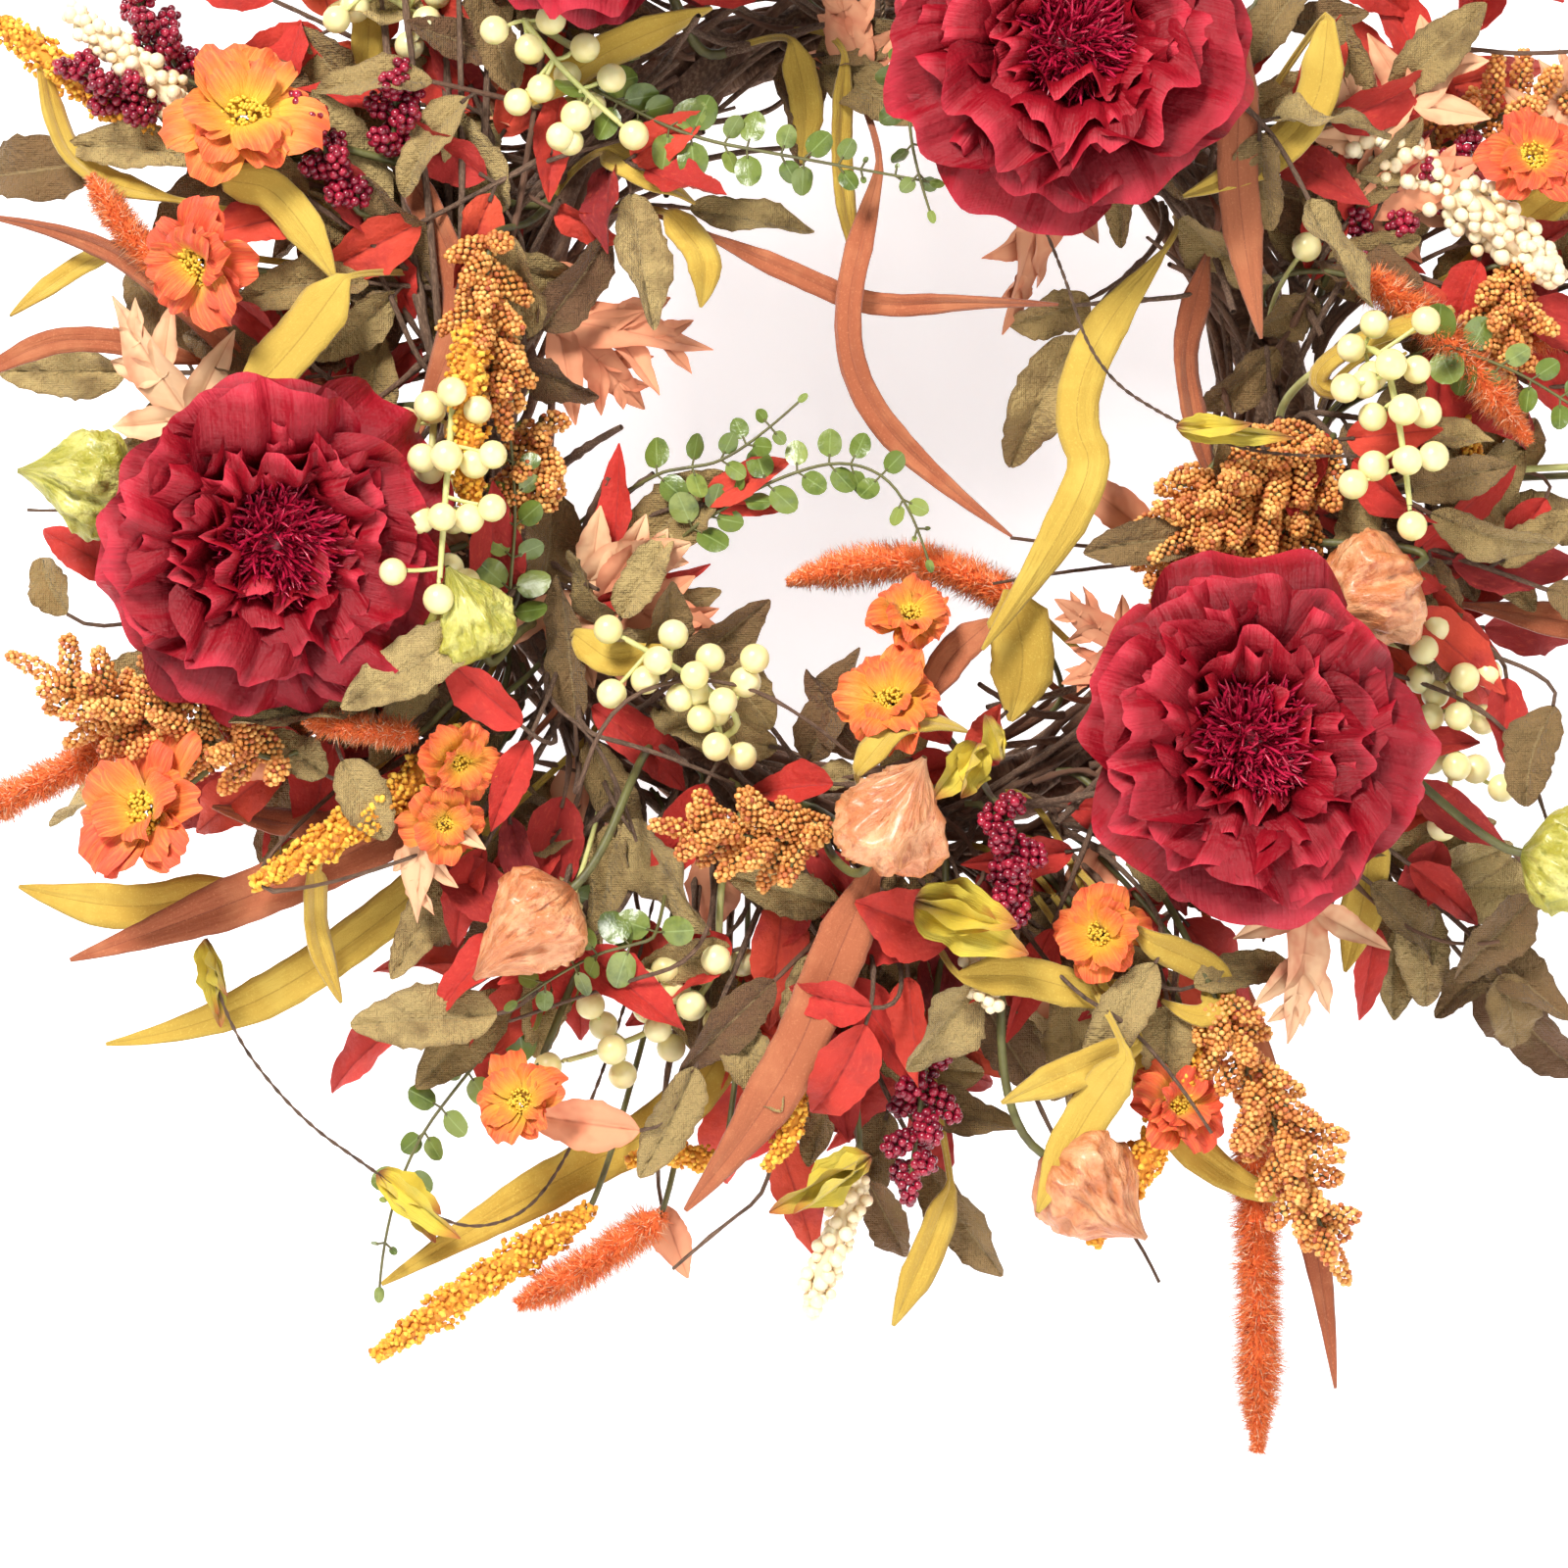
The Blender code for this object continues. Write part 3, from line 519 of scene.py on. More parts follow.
def bent(base, way, face, length, bend, twist, count):
    """Centres, sideways ways and normals of a leaf that droops away from its face and twists."""
    along = unit(np.asarray(way, float))
    side = unit(np.cross(along, face))
    normal = np.cross(side, along)
    s = np.linspace(0, 1, count)[:, None]
    angle = bend * s
    ahead = along * np.cos(angle) - normal * np.sin(angle)
    up = normal * np.cos(angle) + along * np.sin(angle)
    centre = base + np.vstack([np.zeros((1, 3)), np.cumsum(ahead[:-1], 0)]) * (length / (count - 1))
    turn = twist * s
    return centre, side * np.cos(turn) + up * np.sin(turn), up * np.cos(turn) - side * np.sin(turn)


def ripple(rng, x, rate, octaves):
    """A smooth random wave along x, about -1 to 1."""
    total = np.zeros_like(x)
    for k in range(octaves):
        total = total + np.sin(TAU * (x * rate * 1.9**k + rng.random())) / 1.6**k
    return total / 1.8


# ---- mesh making

ICO = (1 + 5**0.5) / 2
ICO_POINTS = unit(np.array([
    (-1, ICO, 0), (1, ICO, 0), (-1, -ICO, 0), (1, -ICO, 0), (0, -1, ICO), (0, 1, ICO),
    (0, -1, -ICO), (0, 1, -ICO), (ICO, 0, -1), (ICO, 0, 1), (-ICO, 0, -1), (-ICO, 0, 1),
], float))
ICO_FACES = np.array([
    (0, 11, 5), (0, 5, 1), (0, 1, 7), (0, 7, 10), (0, 10, 11), (1, 5, 9), (5, 11, 4), (11, 10, 2),
    (10, 7, 6), (7, 1, 8), (3, 9, 4), (3, 4, 2), (3, 2, 6), (3, 6, 8), (3, 8, 9), (4, 9, 5),
    (2, 4, 11), (6, 2, 10), (8, 6, 7), (9, 8, 1),
])


def finer(points, faces):
    """A ball with each face in four."""
    points = list(map(tuple, points))
    index = {}

    def middle(a, b):
        key = (min(a, b), max(a, b))
        if key not in index:
            index[key] = len(points)
            points.append(tuple(unit((np.array(points[a]) + np.array(points[b])) / 2)))
        return index[key]

    out = []
    for a, b, c in faces:
        ab, bc, ca = middle(a, b), middle(b, c), middle(c, a)
        out += [(a, ab, ca), (ab, b, bc), (ca, bc, c), (ab, bc, ca)]
    return np.array(points), np.array(out)


GRAIN = (ICO_POINTS, ICO_FACES)
BEAD = finer(*GRAIN)
BALL = finer(*BEAD)


VEIN_SLANT, VEIN_WIDTH, RIB_WIDTH = 0.24, 0.17, 0.12  # as shares of a leaf
NARROW = 0.004  # the half width, in metres, under which the relief fades


class Heap:
    """Gathers surfaces, with how far along and across each point is, and a tone for each part."""

    def __init__(self):
        self.points, self.quads, self.tris = [], [], []
        self.along, self.across, self.tone = [], [], []
        self.count = 0

    def keep(self, points, along, across, tone):
        start = self.count
        self.points.append(points.reshape(-1, 3))
        size = len(self.points[-1])
        for store, value in ((self.along, along), (self.across, across), (self.tone, tone)):
            store.append(np.broadcast_to(np.asarray(value, float), points.shape[:-1]).reshape(-1))
        self.count += size
        return start

    def grid(self, points, along, across, tone, closed=False):
        rows, cols = points.shape[:2]
        start = self.keep(points, along, across, tone)
        index = np.arange(rows * cols).reshape(rows, cols) + start
        after = np.roll(index, -1, axis=1)
        if not closed:
            index, after = index[:, :-1], after[:, :-1]
        self.quads.append(np.stack([index[:-1], after[:-1], after[1:], index[1:]], -1).reshape(-1, 4))

    def tube(self, points, radius, sides, tone=0.5, rough=0.0, rng=None):
        _, side, normal = frames(points)
        angle = np.arange(sides) / sides * TAU
        size = np.broadcast_to(radius, len(points))[:, None] * np.ones(sides)
        if rough:
            size = size * (1 + rough * rng.uniform(-1, 1, size.shape))
        share = np.linspace(0, 1, len(points))[:, None]
        around = (np.abs(angle / math.pi - 1) * 2 - 1)[None, :]
        cloud = points[:, None] + rings(side, normal, angle) * size[..., None]
        self.grid(cloud, share, around, tone, closed=True)

    def balls(self, centres, radii, ball, tones, rng=None, squash=0.0):
        points, faces = ball
        centres = np.asarray(centres)
        radii = np.broadcast_to(radii, len(centres))
        size = radii[:, None] * np.ones(len(points))
        if squash:
            size = size * (1 + squash * rng.uniform(-1, 1, size.shape))
        cloud = centres[:, None] + points[None] * size[..., None]
        start = self.keep(cloud, (points[:, 2] + 1) / 2, points[:, 0], np.asarray(tones)[:, None])
        shift = np.arange(len(centres))[:, None, None] * len(points) + start
        self.tris.append((faces[None] + shift).reshape(-1, 3))

    def spines(self, roots, ways, lengths, radius, tones):
        """Thin three-sided points, such as fuzz."""
        ways = unit(ways)
        one = unit(np.cross(ways, np.array((0.31, 0.52, 0.79))))
        two = np.cross(ways, one)
        cloud = [roots + turned(one, two, a) * radius for a in (0, TAU / 3, 2 * TAU / 3)]
        cloud = np.stack(cloud + [roots + ways * lengths[:, None]], 1)
        start = self.keep(cloud, np.array((0, 0, 0, 1.0)), 0.0, tones[:, None])
        shift = np.arange(len(roots))[:, None, None] * 4 + start
        self.tris.append((np.array([(0, 1, 3), (1, 2, 3), (2, 0, 3)])[None] + shift).reshape(-1, 3))

    def blade(self, centre, side, normal, half, look, rng, tone, thick=0.0):
        """A leaf or strap over a centreline: folded at its rib, waved and worn at its edges."""
        rows = len(centre)
        s = np.linspace(0, 1, rows)[:, None]
        t = look["columns"][None, :]
        edge = np.abs(t)
        left, right = (1 + look["ragged"] * ripple(rng, s, look["worn"], 4) for _ in range(2))
        wide = half[:, None] * np.where(t < 0, left, right)
        waves = look["waves"] * rng.uniform(0.8, 1.25)
        one, two = rng.random(2)
        swing = np.where(t < 0, np.sin(TAU * (waves * s + one)), np.sin(TAU * (waves * s + two)))
        lift = look["fold"] * edge * wide + look["wave"] * wide * edge**1.5 * swing
        fade = np.minimum(1, wide / NARROW)
        if look["veins"]:
            phase = look["veins"] * (s - VEIN_SLANT * edge)
            ridge = np.exp(-(((phase - np.round(phase)) / VEIN_WIDTH) ** 2))
            lift = lift - look["relief"] * ridge * (1 - edge**4) * fade
        lift = lift - look["relief"] * 1.6 * np.exp(-((t / RIB_WIDTH) ** 2)) * fade
        cloud = centre[:, None] + side[:, None] * (wide * t)[..., None] + normal[:, None] * lift[..., None]
        if not thick:
            self.grid(cloud, s, t, tone)
            return
        up = normal[:, None] * (thick / 2)
        both = np.concatenate([cloud + up, (cloud - up)[:, ::-1]], 1)
        self.grid(both, s, np.concatenate([t, t[:, ::-1]], 1), tone, closed=True)

    def make(self, name, slot, body="wreath", replaces=(), material=None):
        mesh = bpy.data.meshes.new(name)
        points = np.concatenate(self.points)
        if body == "wreath":
            points[:, 1] = np.minimum(points[:, 1], DOOR_GAP)
        quads = np.concatenate(self.quads) if self.quads else np.zeros((0, 4), int)
        tris = np.concatenate(self.tris) if self.tris else np.zeros((0, 3), int)
        mesh.vertices.add(len(points))
        mesh.vertices.foreach_set("co", points.astype(np.float32).ravel())
        mesh.loops.add(quads.size + tris.size)
        mesh.loops.foreach_set("vertex_index", np.r_[quads.ravel(), tris.ravel()].astype(np.int32))
        mesh.polygons.add(len(quads) + len(tris))
        starts = np.r_[np.arange(len(quads)) * 4, quads.size + np.arange(len(tris)) * 3]
        mesh.polygons.foreach_set("loop_start", starts.astype(np.int32))
        mesh.update(calc_edges=True)
        mesh.polygons.foreach_set("use_smooth", np.ones(len(mesh.polygons), bool))
        for key, store in (("along", self.along), ("across", self.across), ("tone", self.tone)):
            layer = mesh.attributes.new(key, "FLOAT", "POINT")
            layer.data.foreach_set("value", np.concatenate(store).astype(np.float32))
        mesh.materials.append(MATERIALS[material or slot])
        thing = bpy.data.objects.new(name, mesh)
        bpy.context.scene.collection.objects.link(thing)
        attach(thing, body)
        if replaces:
            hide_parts(*replaces)


# ---- leaves and straps

LEAF_COLUMNS = np.array((-1, -0.74, -0.44, -0.16, 0, 0.16, 0.44, 0.74, 1.0))
STRAP_COLUMNS = np.array((-1, -0.6, -0.12, 0, 0.12, 0.6, 1.0))


def look(**changes):
    base = dict(columns=LEAF_COLUMNS, fold=0.22, wave=0.16, waves=1.6, ragged=0.06, worn=5, veins=6,
                relief=0.0007, rows=24, bend=0.95, twist=0.8, swell=0.72, blunt=0.8)
    base.update(changes)
    return base


FELT = look(ragged=0.08, worn=7, wave=0.26, swell=0.80, blunt=0.66, relief=0.0009)
RED = look(fold=0.34, wave=0.24, blunt=0.9, veins=7, relief=0.0006)
OAK = look(fold=0.14, wave=0.20, ragged=0.03, veins=0, relief=0.0006, rows=24, blunt=0.8, bend=0.6)
COIN = look(fold=-0.15, wave=0.05, ragged=0.0, veins=0, relief=0.0002, rows=10, bend=0.3, twist=0.2,
            swell=0.9, blunt=0.42, columns=np.array((-1, -0.6, 0, 0.6, 1.0)))
BUD = look(fold=0.7, wave=0.35, waves=2.2, veins=0, relief=0.0006, rows=16, bend=0.9, twist=1.0, blunt=0.7)
STRAP = look(columns=STRAP_COLUMNS, fold=0.08, wave=0.12, waves=2.2, ragged=0.03, worn=16, veins=0,
             relief=0.0003, rows=56)
LOBE = {**RED, "bend": 0.5, "twist": 0.5, "veins": 0}
LOBES = ((0.10, 62, 0.60, 0.62), (0.40, 46, 0.46, 0.52), (0.66, 36, 0.28, 0.34))  # place, lean, length, width


def leaf(heap, base, way, face, length, width, style, rng, tone):
    """One leaf from its base, in the direction way, with its upper side towards face."""
    rows = style["rows"]
    bend = style["bend"] * rng.uniform(-0.3, 1.3)
    twist = style["twist"] * rng.uniform(-1, 1)
    centre, side, normal = bent(np.asarray(base), way, face, length, bend, twist, rows)
    s = np.linspace(0.004, 0.994, rows)
    half = width / 2 * np.maximum(np.sin(math.pi * s ** style["swell"]) ** style["blunt"], 0.05)
    heap.blade(centre, side, normal, half, style, rng, tone)
    if style is not OAK:
        return
    along = unit(np.gradient(centre, axis=0))
    for share, lean, long, wide in LOBES:
        k = int(share * rows)
        for sign in (-1, 1):
            turn = math.radians(lean * rng.uniform(0.85, 1.15))
            ahead = along[k] * math.cos(turn) + side[k] * (sign * math.sin(turn))
            foot = centre[k] - normal[k] * 0.0004
            reach = length * long * rng.uniform(0.85, 1.1)
            leaf(heap, foot, ahead, normal[k], reach, width * wide, LOBE, rng, tone)


def strap(heap, corners, width, rng, tone, stalk=0.25, spin=0.0):
    """A long ribbon on a wire stalk, with a pressed rib. spin turns its face along its length."""
    points = curve(corners, STRAP["rows"])
    _, side, normal = frames(points)
    place = np.linspace(0, 1, STRAP["rows"])
    turn = (spin * place + 0.25 * ripple(rng, place, 1.1, 2))[:, None]
    side, normal = side * np.cos(turn) + normal * np.sin(turn), normal * np.cos(turn) - side * np.sin(turn)
    share = (place - stalk) / (1 - stalk)
    wide = np.minimum(np.minimum(1.0, 0.25 + 4 * share), 0.08 + 2.4 * (1 - share) ** 0.9)
    half = np.where(share < 0, STEM_RADIUS * 0.8, width / 2 * np.maximum(wide, 0.07))
    heap.blade(points, side, normal, half, STRAP, rng, tone, thick=0.0009)


def jitter(rng, amount=0.45):
    """A way that faces the front, more or less."""
    return unit(FRONT + rng.normal(0, amount, 3) * np.array((1, 0.3, 1)))


def sprig(leaves, stems, corners, shares, length, width, style, rng, tones, single=False):
    """A twig with leaves on both sides at each joint and one at its end."""
    points = curve(corners, 34)
    stems.tube(points, np.linspace(STEM_RADIUS, STEM_RADIUS * 0.55, 34), 6, rng.random(), 0.12, rng)
    along, side, _ = frames(points)
    lean = math.radians(48)
    for j, share in enumerate(shares):
        k = min(int(share * 33), 33)
        for sign in (1, -1) if not single else ((1, -1)[j % 2],):
            turn = lean * rng.uniform(0.75, 1.25)
            way = along[k] * math.cos(turn) + side[k] * (sign * math.sin(turn))
            way = way + FRONT * rng.uniform(-0.1, 0.25)
            size = rng.uniform(0.85, 1.1)
            foot = points[k] + unit(way) * 0.004
            stems.tube(np.array([points[k], foot + unit(way) * 0.003]), STEM_RADIUS * 0.5, 5)
            leaf(leaves, foot, way, jitter(rng), length * size, width * size, style, rng, rng.uniform(*tones))
    leaf(leaves, points[-1], along[-1], jitter(rng), length * 1.1, width, style, rng, rng.uniform(*tones))


def coin_sprig(leaves, stems, corners, size, rng, bare, gap=0.012):
    """A trailing stem with pairs of round leaves and a tip of tiny buds."""
    points = curve(corners, 44)
    length = gaps(points).sum()
    stems.tube(points, np.linspace(0.0009, 0.0005, 44), 5, 0.5)
    along, side, _ = frames(points)
    count = max(int(length * (1 - bare) / gap), 3)
    for j in range(count):
        share = bare + (1 - bare) * j / count
        k = min(int(share * 43), 42)
        small = size * (1 - 0.45 * j / count) * rng.uniform(0.8, 1.15)
        if j > count * 0.8:
            small *= 0.35
        for sign in (1, -1):
            way = along[k] * 0.45 + side[k] * sign + rng.normal(0, 0.3, 3)
            foot = points[k] + unit(way) * 0.0025
            stems.tube(np.array([points[k], foot + unit(way) * 0.001]), 0.0004, 4)
            leaf(leaves, foot, way, jitter(rng, amount=0.5), small, small * 0.86, COIN, rng, rng.random())
    leaf(leaves, points[-1], along[-1], FRONT, size * 0.4, size * 0.25, COIN, rng, 0.8)


# ---- heads

GOLDEN_TURN = 2.39996  # radians from each bead to the next, so that they never line up
LOBE_FILL = 0.62  # how much of a lobe its beads cover
FIBRES = 90000  # to each metre of a foxtail


def axes_of(axis):
    """Two directions square to an axis."""
    axis = unit(np.asarray(axis, float))
    one = unit(np.cross(np.array((0.0, 0.0, 1.0)) if abs(axis[2]) < 0.9 else np.array((1.0, 0, 0)), axis))
    return axis, one, np.cross(axis, one)


def petal(heap, origin, axis, turn, size, lean, ruffle, rng, tone, cup=0.25, rows=18, cols=23):
    """One petal. size is (length, width, foot radius, foot height), and lean its angles off the axis."""
    axis, one, two = axes_of(axis)
    length, width, foot, rise = size
    s = np.linspace(0, 1, rows)[:, None]
    t = np.linspace(-1, 1, cols)[None, :]
    tip = 1 - 0.13 * t**2 - 0.17 * t**6 + 0.045 * ripple(rng, t / 2, 1.6, 2)
    reach = s * tip
    start, stop = lean
    sweep = stop - start if abs(stop - start) > 0.05 else 0.05
    angle = start + sweep * reach
    out = foot + length * (np.cos(start) - np.cos(angle)) / sweep
    high = rise + length * (np.sin(angle) - np.sin(start)) / sweep
    half = width / 2 * (0.26 + 0.74 * np.sin(np.minimum(reach * 2.1, math.pi / 2)))
    waves = rng.uniform(1.9, 2.9)
    one_phase, two_phase, three_phase = rng.random(3) * TAU
    swing = 0.72 * np.sin(waves * math.pi * t + one_phase)
    swing = swing + 0.28 * np.sin(waves * 1.8 * math.pi * t + two_phase)
    lift = cup * half * t**2 + ruffle * width * reach**2.4 * swing
    lift = lift + 0.030 * width * np.sin(8 * reach + three_phase + 2.5 * t) * reach
    lift = lift + 0.07 * width * reach * np.sin(2.6 * t + three_phase) * (1 - 0.5 * t**2)
    lift = lift + 0.22 * ruffle * width * reach**7 * ripple(rng, t / 2 + reach * 0.2, 3.4, 2)
    lift = lift - 0.13 * width * reach**8
    radial = turned(one, two, turn)
    tangent = two * math.cos(turn) - one * math.sin(turn)
    away = out - np.cos(angle) * lift
    up = high + np.sin(angle) * lift
    cloud = origin + radial * away[..., None] + tangent * (half * t)[..., None] + axis * up[..., None]
    heap.grid(cloud, reach, t, tone)


def tuft(heap, origin, axis, radius, count, rng):
    """Shiny threads that spread from the middle of a flower, each with a small head."""
    axis, one, two = axes_of(axis)
    for _ in range(count):
        turn, place = rng.random() * TAU, math.sqrt(rng.random())
        radial = turned(one, two, turn)
        root = origin + radial * (radius * 0.50 * place)
        spread = 0.15 + 1.1 * place * rng.uniform(0.5, 1.3)
        reach = radius * rng.uniform(0.35, 0.72)
        mid = root + turned(axis, radial, spread) * reach * 0.55
        curl = rng.normal(0, 1, 3)
        end = mid + unit(turned(axis, radial, spread) + curl * 0.75) * reach * 0.5
        size = np.array((0.00045, 0.00040, 0.00036, 0.00036, 0.00060, 0.0002))
        heap.tube(curve([root, mid, end], 6), size, 4, rng.random())


def peony(name, corners, facing, seed):
    rng = np.random.default_rng(seed)
    axis = unit(np.array(facing, float))
    back = corners[-1]
    stem = Heap()
    stem.tube(curve(corners[:-1] + [back - axis * 0.012, back], 26), 0.0019, 8)
    for k in range(5):
        sepal = (0.016, 0.011, 0.002, -0.003)
        petal(stem, back, axis, k * TAU / 5 + 0.3, sepal, (0.9, 1.5), 0.05, rng, 0.5, rows=8, cols=7)
    stem.make(f"{name}_stem", "green_stem", replaces=[f"{name}_stem"])
    seat = back + axis * CALYX_HEIGHT
    petals = Heap()
    r = PEONY_RADIUS
    for count, long, wide, foot, rise, lean, ruffle, cup in (
        (7, 1.09, 1.14, 0.05, 0.00, (1.20, 1.70), 0.11, 0.10),
        (7, 1.02, 1.04, 0.08, 0.02, (0.94, 1.46), 0.13, 0.14),
        (8, 0.84, 0.88, 0.20, 0.02, (0.62, 1.20), 0.16, 0.17),
        (8, 0.70, 0.80, 0.27, 0.02, (0.42, 1.02), 0.18, 0.18),
        (7, 0.58, 0.70, 0.28, 0.03, (0.22, 0.86), 0.18, 0.20),
        (6, 0.50, 0.60, 0.24, 0.05, (0.02, 0.66), 0.19, 0.22),
    ):
        shift = rng.random()
        for k in range(count):
            turn = (k + shift + rng.uniform(-0.34, 0.34)) * TAU / count
            size = np.array((long, wide, foot, rise)) * r * rng.uniform(0.86, 1.04)
            tilt = rng.uniform(-0.24, 0.18)
            angles = (lean[0] + tilt, lean[1] + tilt)
            petal(petals, seat, axis, turn, size, angles, ruffle, rng, rng.random(), cup)
    petals.make(f"{name}_petals", "peony_petal", replaces=[f"{name}_petals"])
    stamens = Heap()
    middle = seat + axis * PEONY_FLOOR * 0.9
    tuft(stamens, middle, axis, 0.025, 700, rng)
    stamens.balls([middle - axis * 0.008], 0.0110, BALL, [0.1], rng, 0.10)
    stamens.make(f"{name}_stamens", "stamen", replaces=[f"{name}_stamens"])


def pod(name, slot, base, way, length, seed):
    """A crumpled paper lantern with five ribs, drawn to a twisted point."""
    rng = np.random.default_rng(seed)
    heap = Heap()
    axis, one, two = axes_of(way)
    rows, cols = 54, 70
    s = np.linspace(0, 1, rows)
    shape = np.interp(s, (0, 0.04, 0.14, 0.25, 0.36, 0.48, 0.60, 0.72, 0.84, 0.93, 1.0),
                      (0.04, 0.14, 0.33, 0.39, 0.40, 0.37, 0.30, 0.205, 0.11, 0.05, 0.015))
    shape = np.convolve(np.pad(shape, 2, "edge"), np.ones(5) / 5, "valid")
    angle = np.arange(cols) / cols * TAU
    cloud = np.zeros((rows, cols, 3))
    shift = rng.uniform(0, 50)
    for i in range(rows):
        for j in range(cols):
            turn = angle[j] + 0.6 * s[i] ** 2
            rib = 0.17 * (1 - abs(math.sin(2.5 * turn + shift)) ** 0.6) - 0.05
            place = Vector((math.cos(angle[j]) * 1.6 + shift, math.sin(angle[j]) * 1.6, s[i] * 1.6))
            dent = noise.noise(place * 1.0) * 0.34 - abs(noise.noise(place * 2.0)) * 0.52 + 0.12
            place.z = s[i] * 3.0
            dent += -abs(noise.noise(place * 2.6)) * 0.15 + 0.03
            size = length * shape[i] * (1 + rib + dent * min(1, shape[i] * 4))
            radial = turned(one, two, turn)
            cloud[i, j] = base + axis * (length * s[i]) + radial * size
    around = (np.abs(angle / math.pi - 1) * 2 - 1)[None, :]
    heap.grid(cloud, s[:, None], around, rng.random(), closed=True)
    heap.make(name, slot, replaces=[name])


def small_flower(name, middle, axis, radius, tone, seed, replaces=()):
    """A crinkled silk blossom with a dark ring and a yellow eye."""
    rng = np.random.default_rng(seed)
    heap = Heap()
    for count, long, lean, rise in (
        (6, 1.05, (1.1, 1.7), 0.0),
        (6, 0.95, (0.8, 1.5), 0.05),
        (4, 0.76, (0.5, 1.4), 0.10),
    ):
        for k in range(count):
            turn = (k + rng.uniform(-0.35, 0.35) + rise * 5) * TAU / count
            size = np.array((long, 0.84 * long, 0.10, rise)) * radius * rng.uniform(0.78, 1.1)
            shade = min(max(tone + rng.uniform(-0.25, 0.25), 0), 1)
            tilt = rng.uniform(-0.35, 0.25)
            angles = (lean[0] + tilt, lean[1] + tilt)
            petal(heap, middle, axis, turn, size, angles, 0.13, rng, shade, 0.2, 12, 15)
    heap.make(name, "orange_flower", replaces=replaces)
    eye = Heap()
    axis, one, two = axes_of(axis)
    share = np.sqrt(rng.random(150))
    turn = rng.random(150) * TAU
    ring = fan(one, two, turn)
    rise = radius * (0.30 - 0.10 * share**2 + 0.03 * rng.random(150))
    eye.balls(middle + ring * (radius * 0.36 * share)[:, None] + axis * rise[:, None], radius * 0.034, GRAIN,
              share**2 * 0.66 * rng.uniform(0.8, 1.05, 150), rng, 0.3)
    eye.make(f"{name}_eye", "orange_flower", material="flower_eye")


def lobe(heap, base, way, length, radius, bead, rng, ball):
    """A knob of small beads round a short stalk."""
    axis, one, two = axes_of(way)
    count = int(LOBE_FILL * TAU * radius * length / (bead * bead * 3.4)) + 4
    u = (np.arange(count) + 0.5) / count
    turn = np.arange(count) * GOLDEN_TURN + rng.random() * TAU
    wide = radius * np.sin(math.pi * (0.14 + 0.80 * u)) ** 0.6 * rng.uniform(0.78, 1.05, count)
    spoke = fan(one, two, turn)
    centres = base + axis * (u * length)[:, None] + spoke * wide[:, None]
    heap.balls(centres, bead * rng.uniform(0.85, 1.12, count), ball, rng.random(count))


def lobed_head(heap, stems, corners, start, lobes, size, bead, rng, ball=GRAIN):
    """A branched head of beads from a share of the stem to its end. size is a lobe's (length, radius)."""
    points = curve(corners, 40)
    stems.tube(points, np.linspace(STEM_RADIUS, 0.0008, 40), 6, 0.4)
    along, side, normal = frames(points)
    length, radius = size
    for j in range(lobes):
        share = start + (1 - start) * (j + 0.5) / lobes
        k = min(int(share * 39), 39)
        turn = j * GOLDEN_TURN + rng.uniform(-0.3, 0.3)
        spoke = turned(side[k], normal[k], turn)
        way = unit(spoke + along[k] * rng.uniform(0.5, 1.0))
        long = length * rng.uniform(0.75, 1.15) * (1.1 - 0.45 * abs(2 * (j + 0.5) / lobes - 0.9))
        foot = points[k] + way * 0.002
        stems.tube(np.array([points[k], foot + way * long * 0.6]), 0.0006, 4, 0.4)
        lobe(heap, foot, way, long, radius, bead, rng, ball)
    lobe(heap, points[-1], along[-1], length * 0.8, radius * 0.8, bead, rng, ball)


def headed(heap, stems, points, size, head, core, rng):
    """The stem in one heap and the core of its head in another."""
    stems.tube(points, STEM_RADIUS * 0.7, 6, 0.4)
    k = np.flatnonzero(head >= 0)
    heap.tube(points[k], size[k] * core, 10, 0.15, 0.12, rng)


def granule_spike(heap, stems, corners, radius, bead, rng, bare, ball=GRAIN, density=1.0, squash=0.35):
    """A tapered spike covered in granules or beads."""
    points = curve(corners, 60)
    length = gaps(points).sum()
    _, side, normal = frames(points)
    share = np.linspace(0, 1, 60)
    head = (share - bare) / (1 - bare)
    size = radius * np.minimum(np.minimum(1, 0.45 + 3 * head), 0.30 + 2.2 * (1 - head))
    headed(heap, stems, points, size, head, 0.62, rng)
    count = int(density * TAU * radius * length * (1 - bare) / (bead * bead * 4.2))
    place = bare + (1 - bare) * (np.arange(count) + rng.random(count)) / count
    k = np.minimum((place * 59).astype(int), 59)
    turn = np.arange(count) * GOLDEN_TURN + rng.uniform(-0.5, 0.5, count)
    spoke = fan(side[k], normal[k], turn)
    lump = 1 + 0.16 * np.sin(place * 95 + 2 * turn)
    spine = np.stack([np.interp(place, share, points[:, c]) for c in range(3)], 1)
    centres = spine + spoke * (size[k] * lump * rng.uniform(0.62, 1.0, count))[:, None]
    heap.balls(centres, bead * rng.uniform(0.7, 1.2, count), ball, rng.random(count), rng, squash)


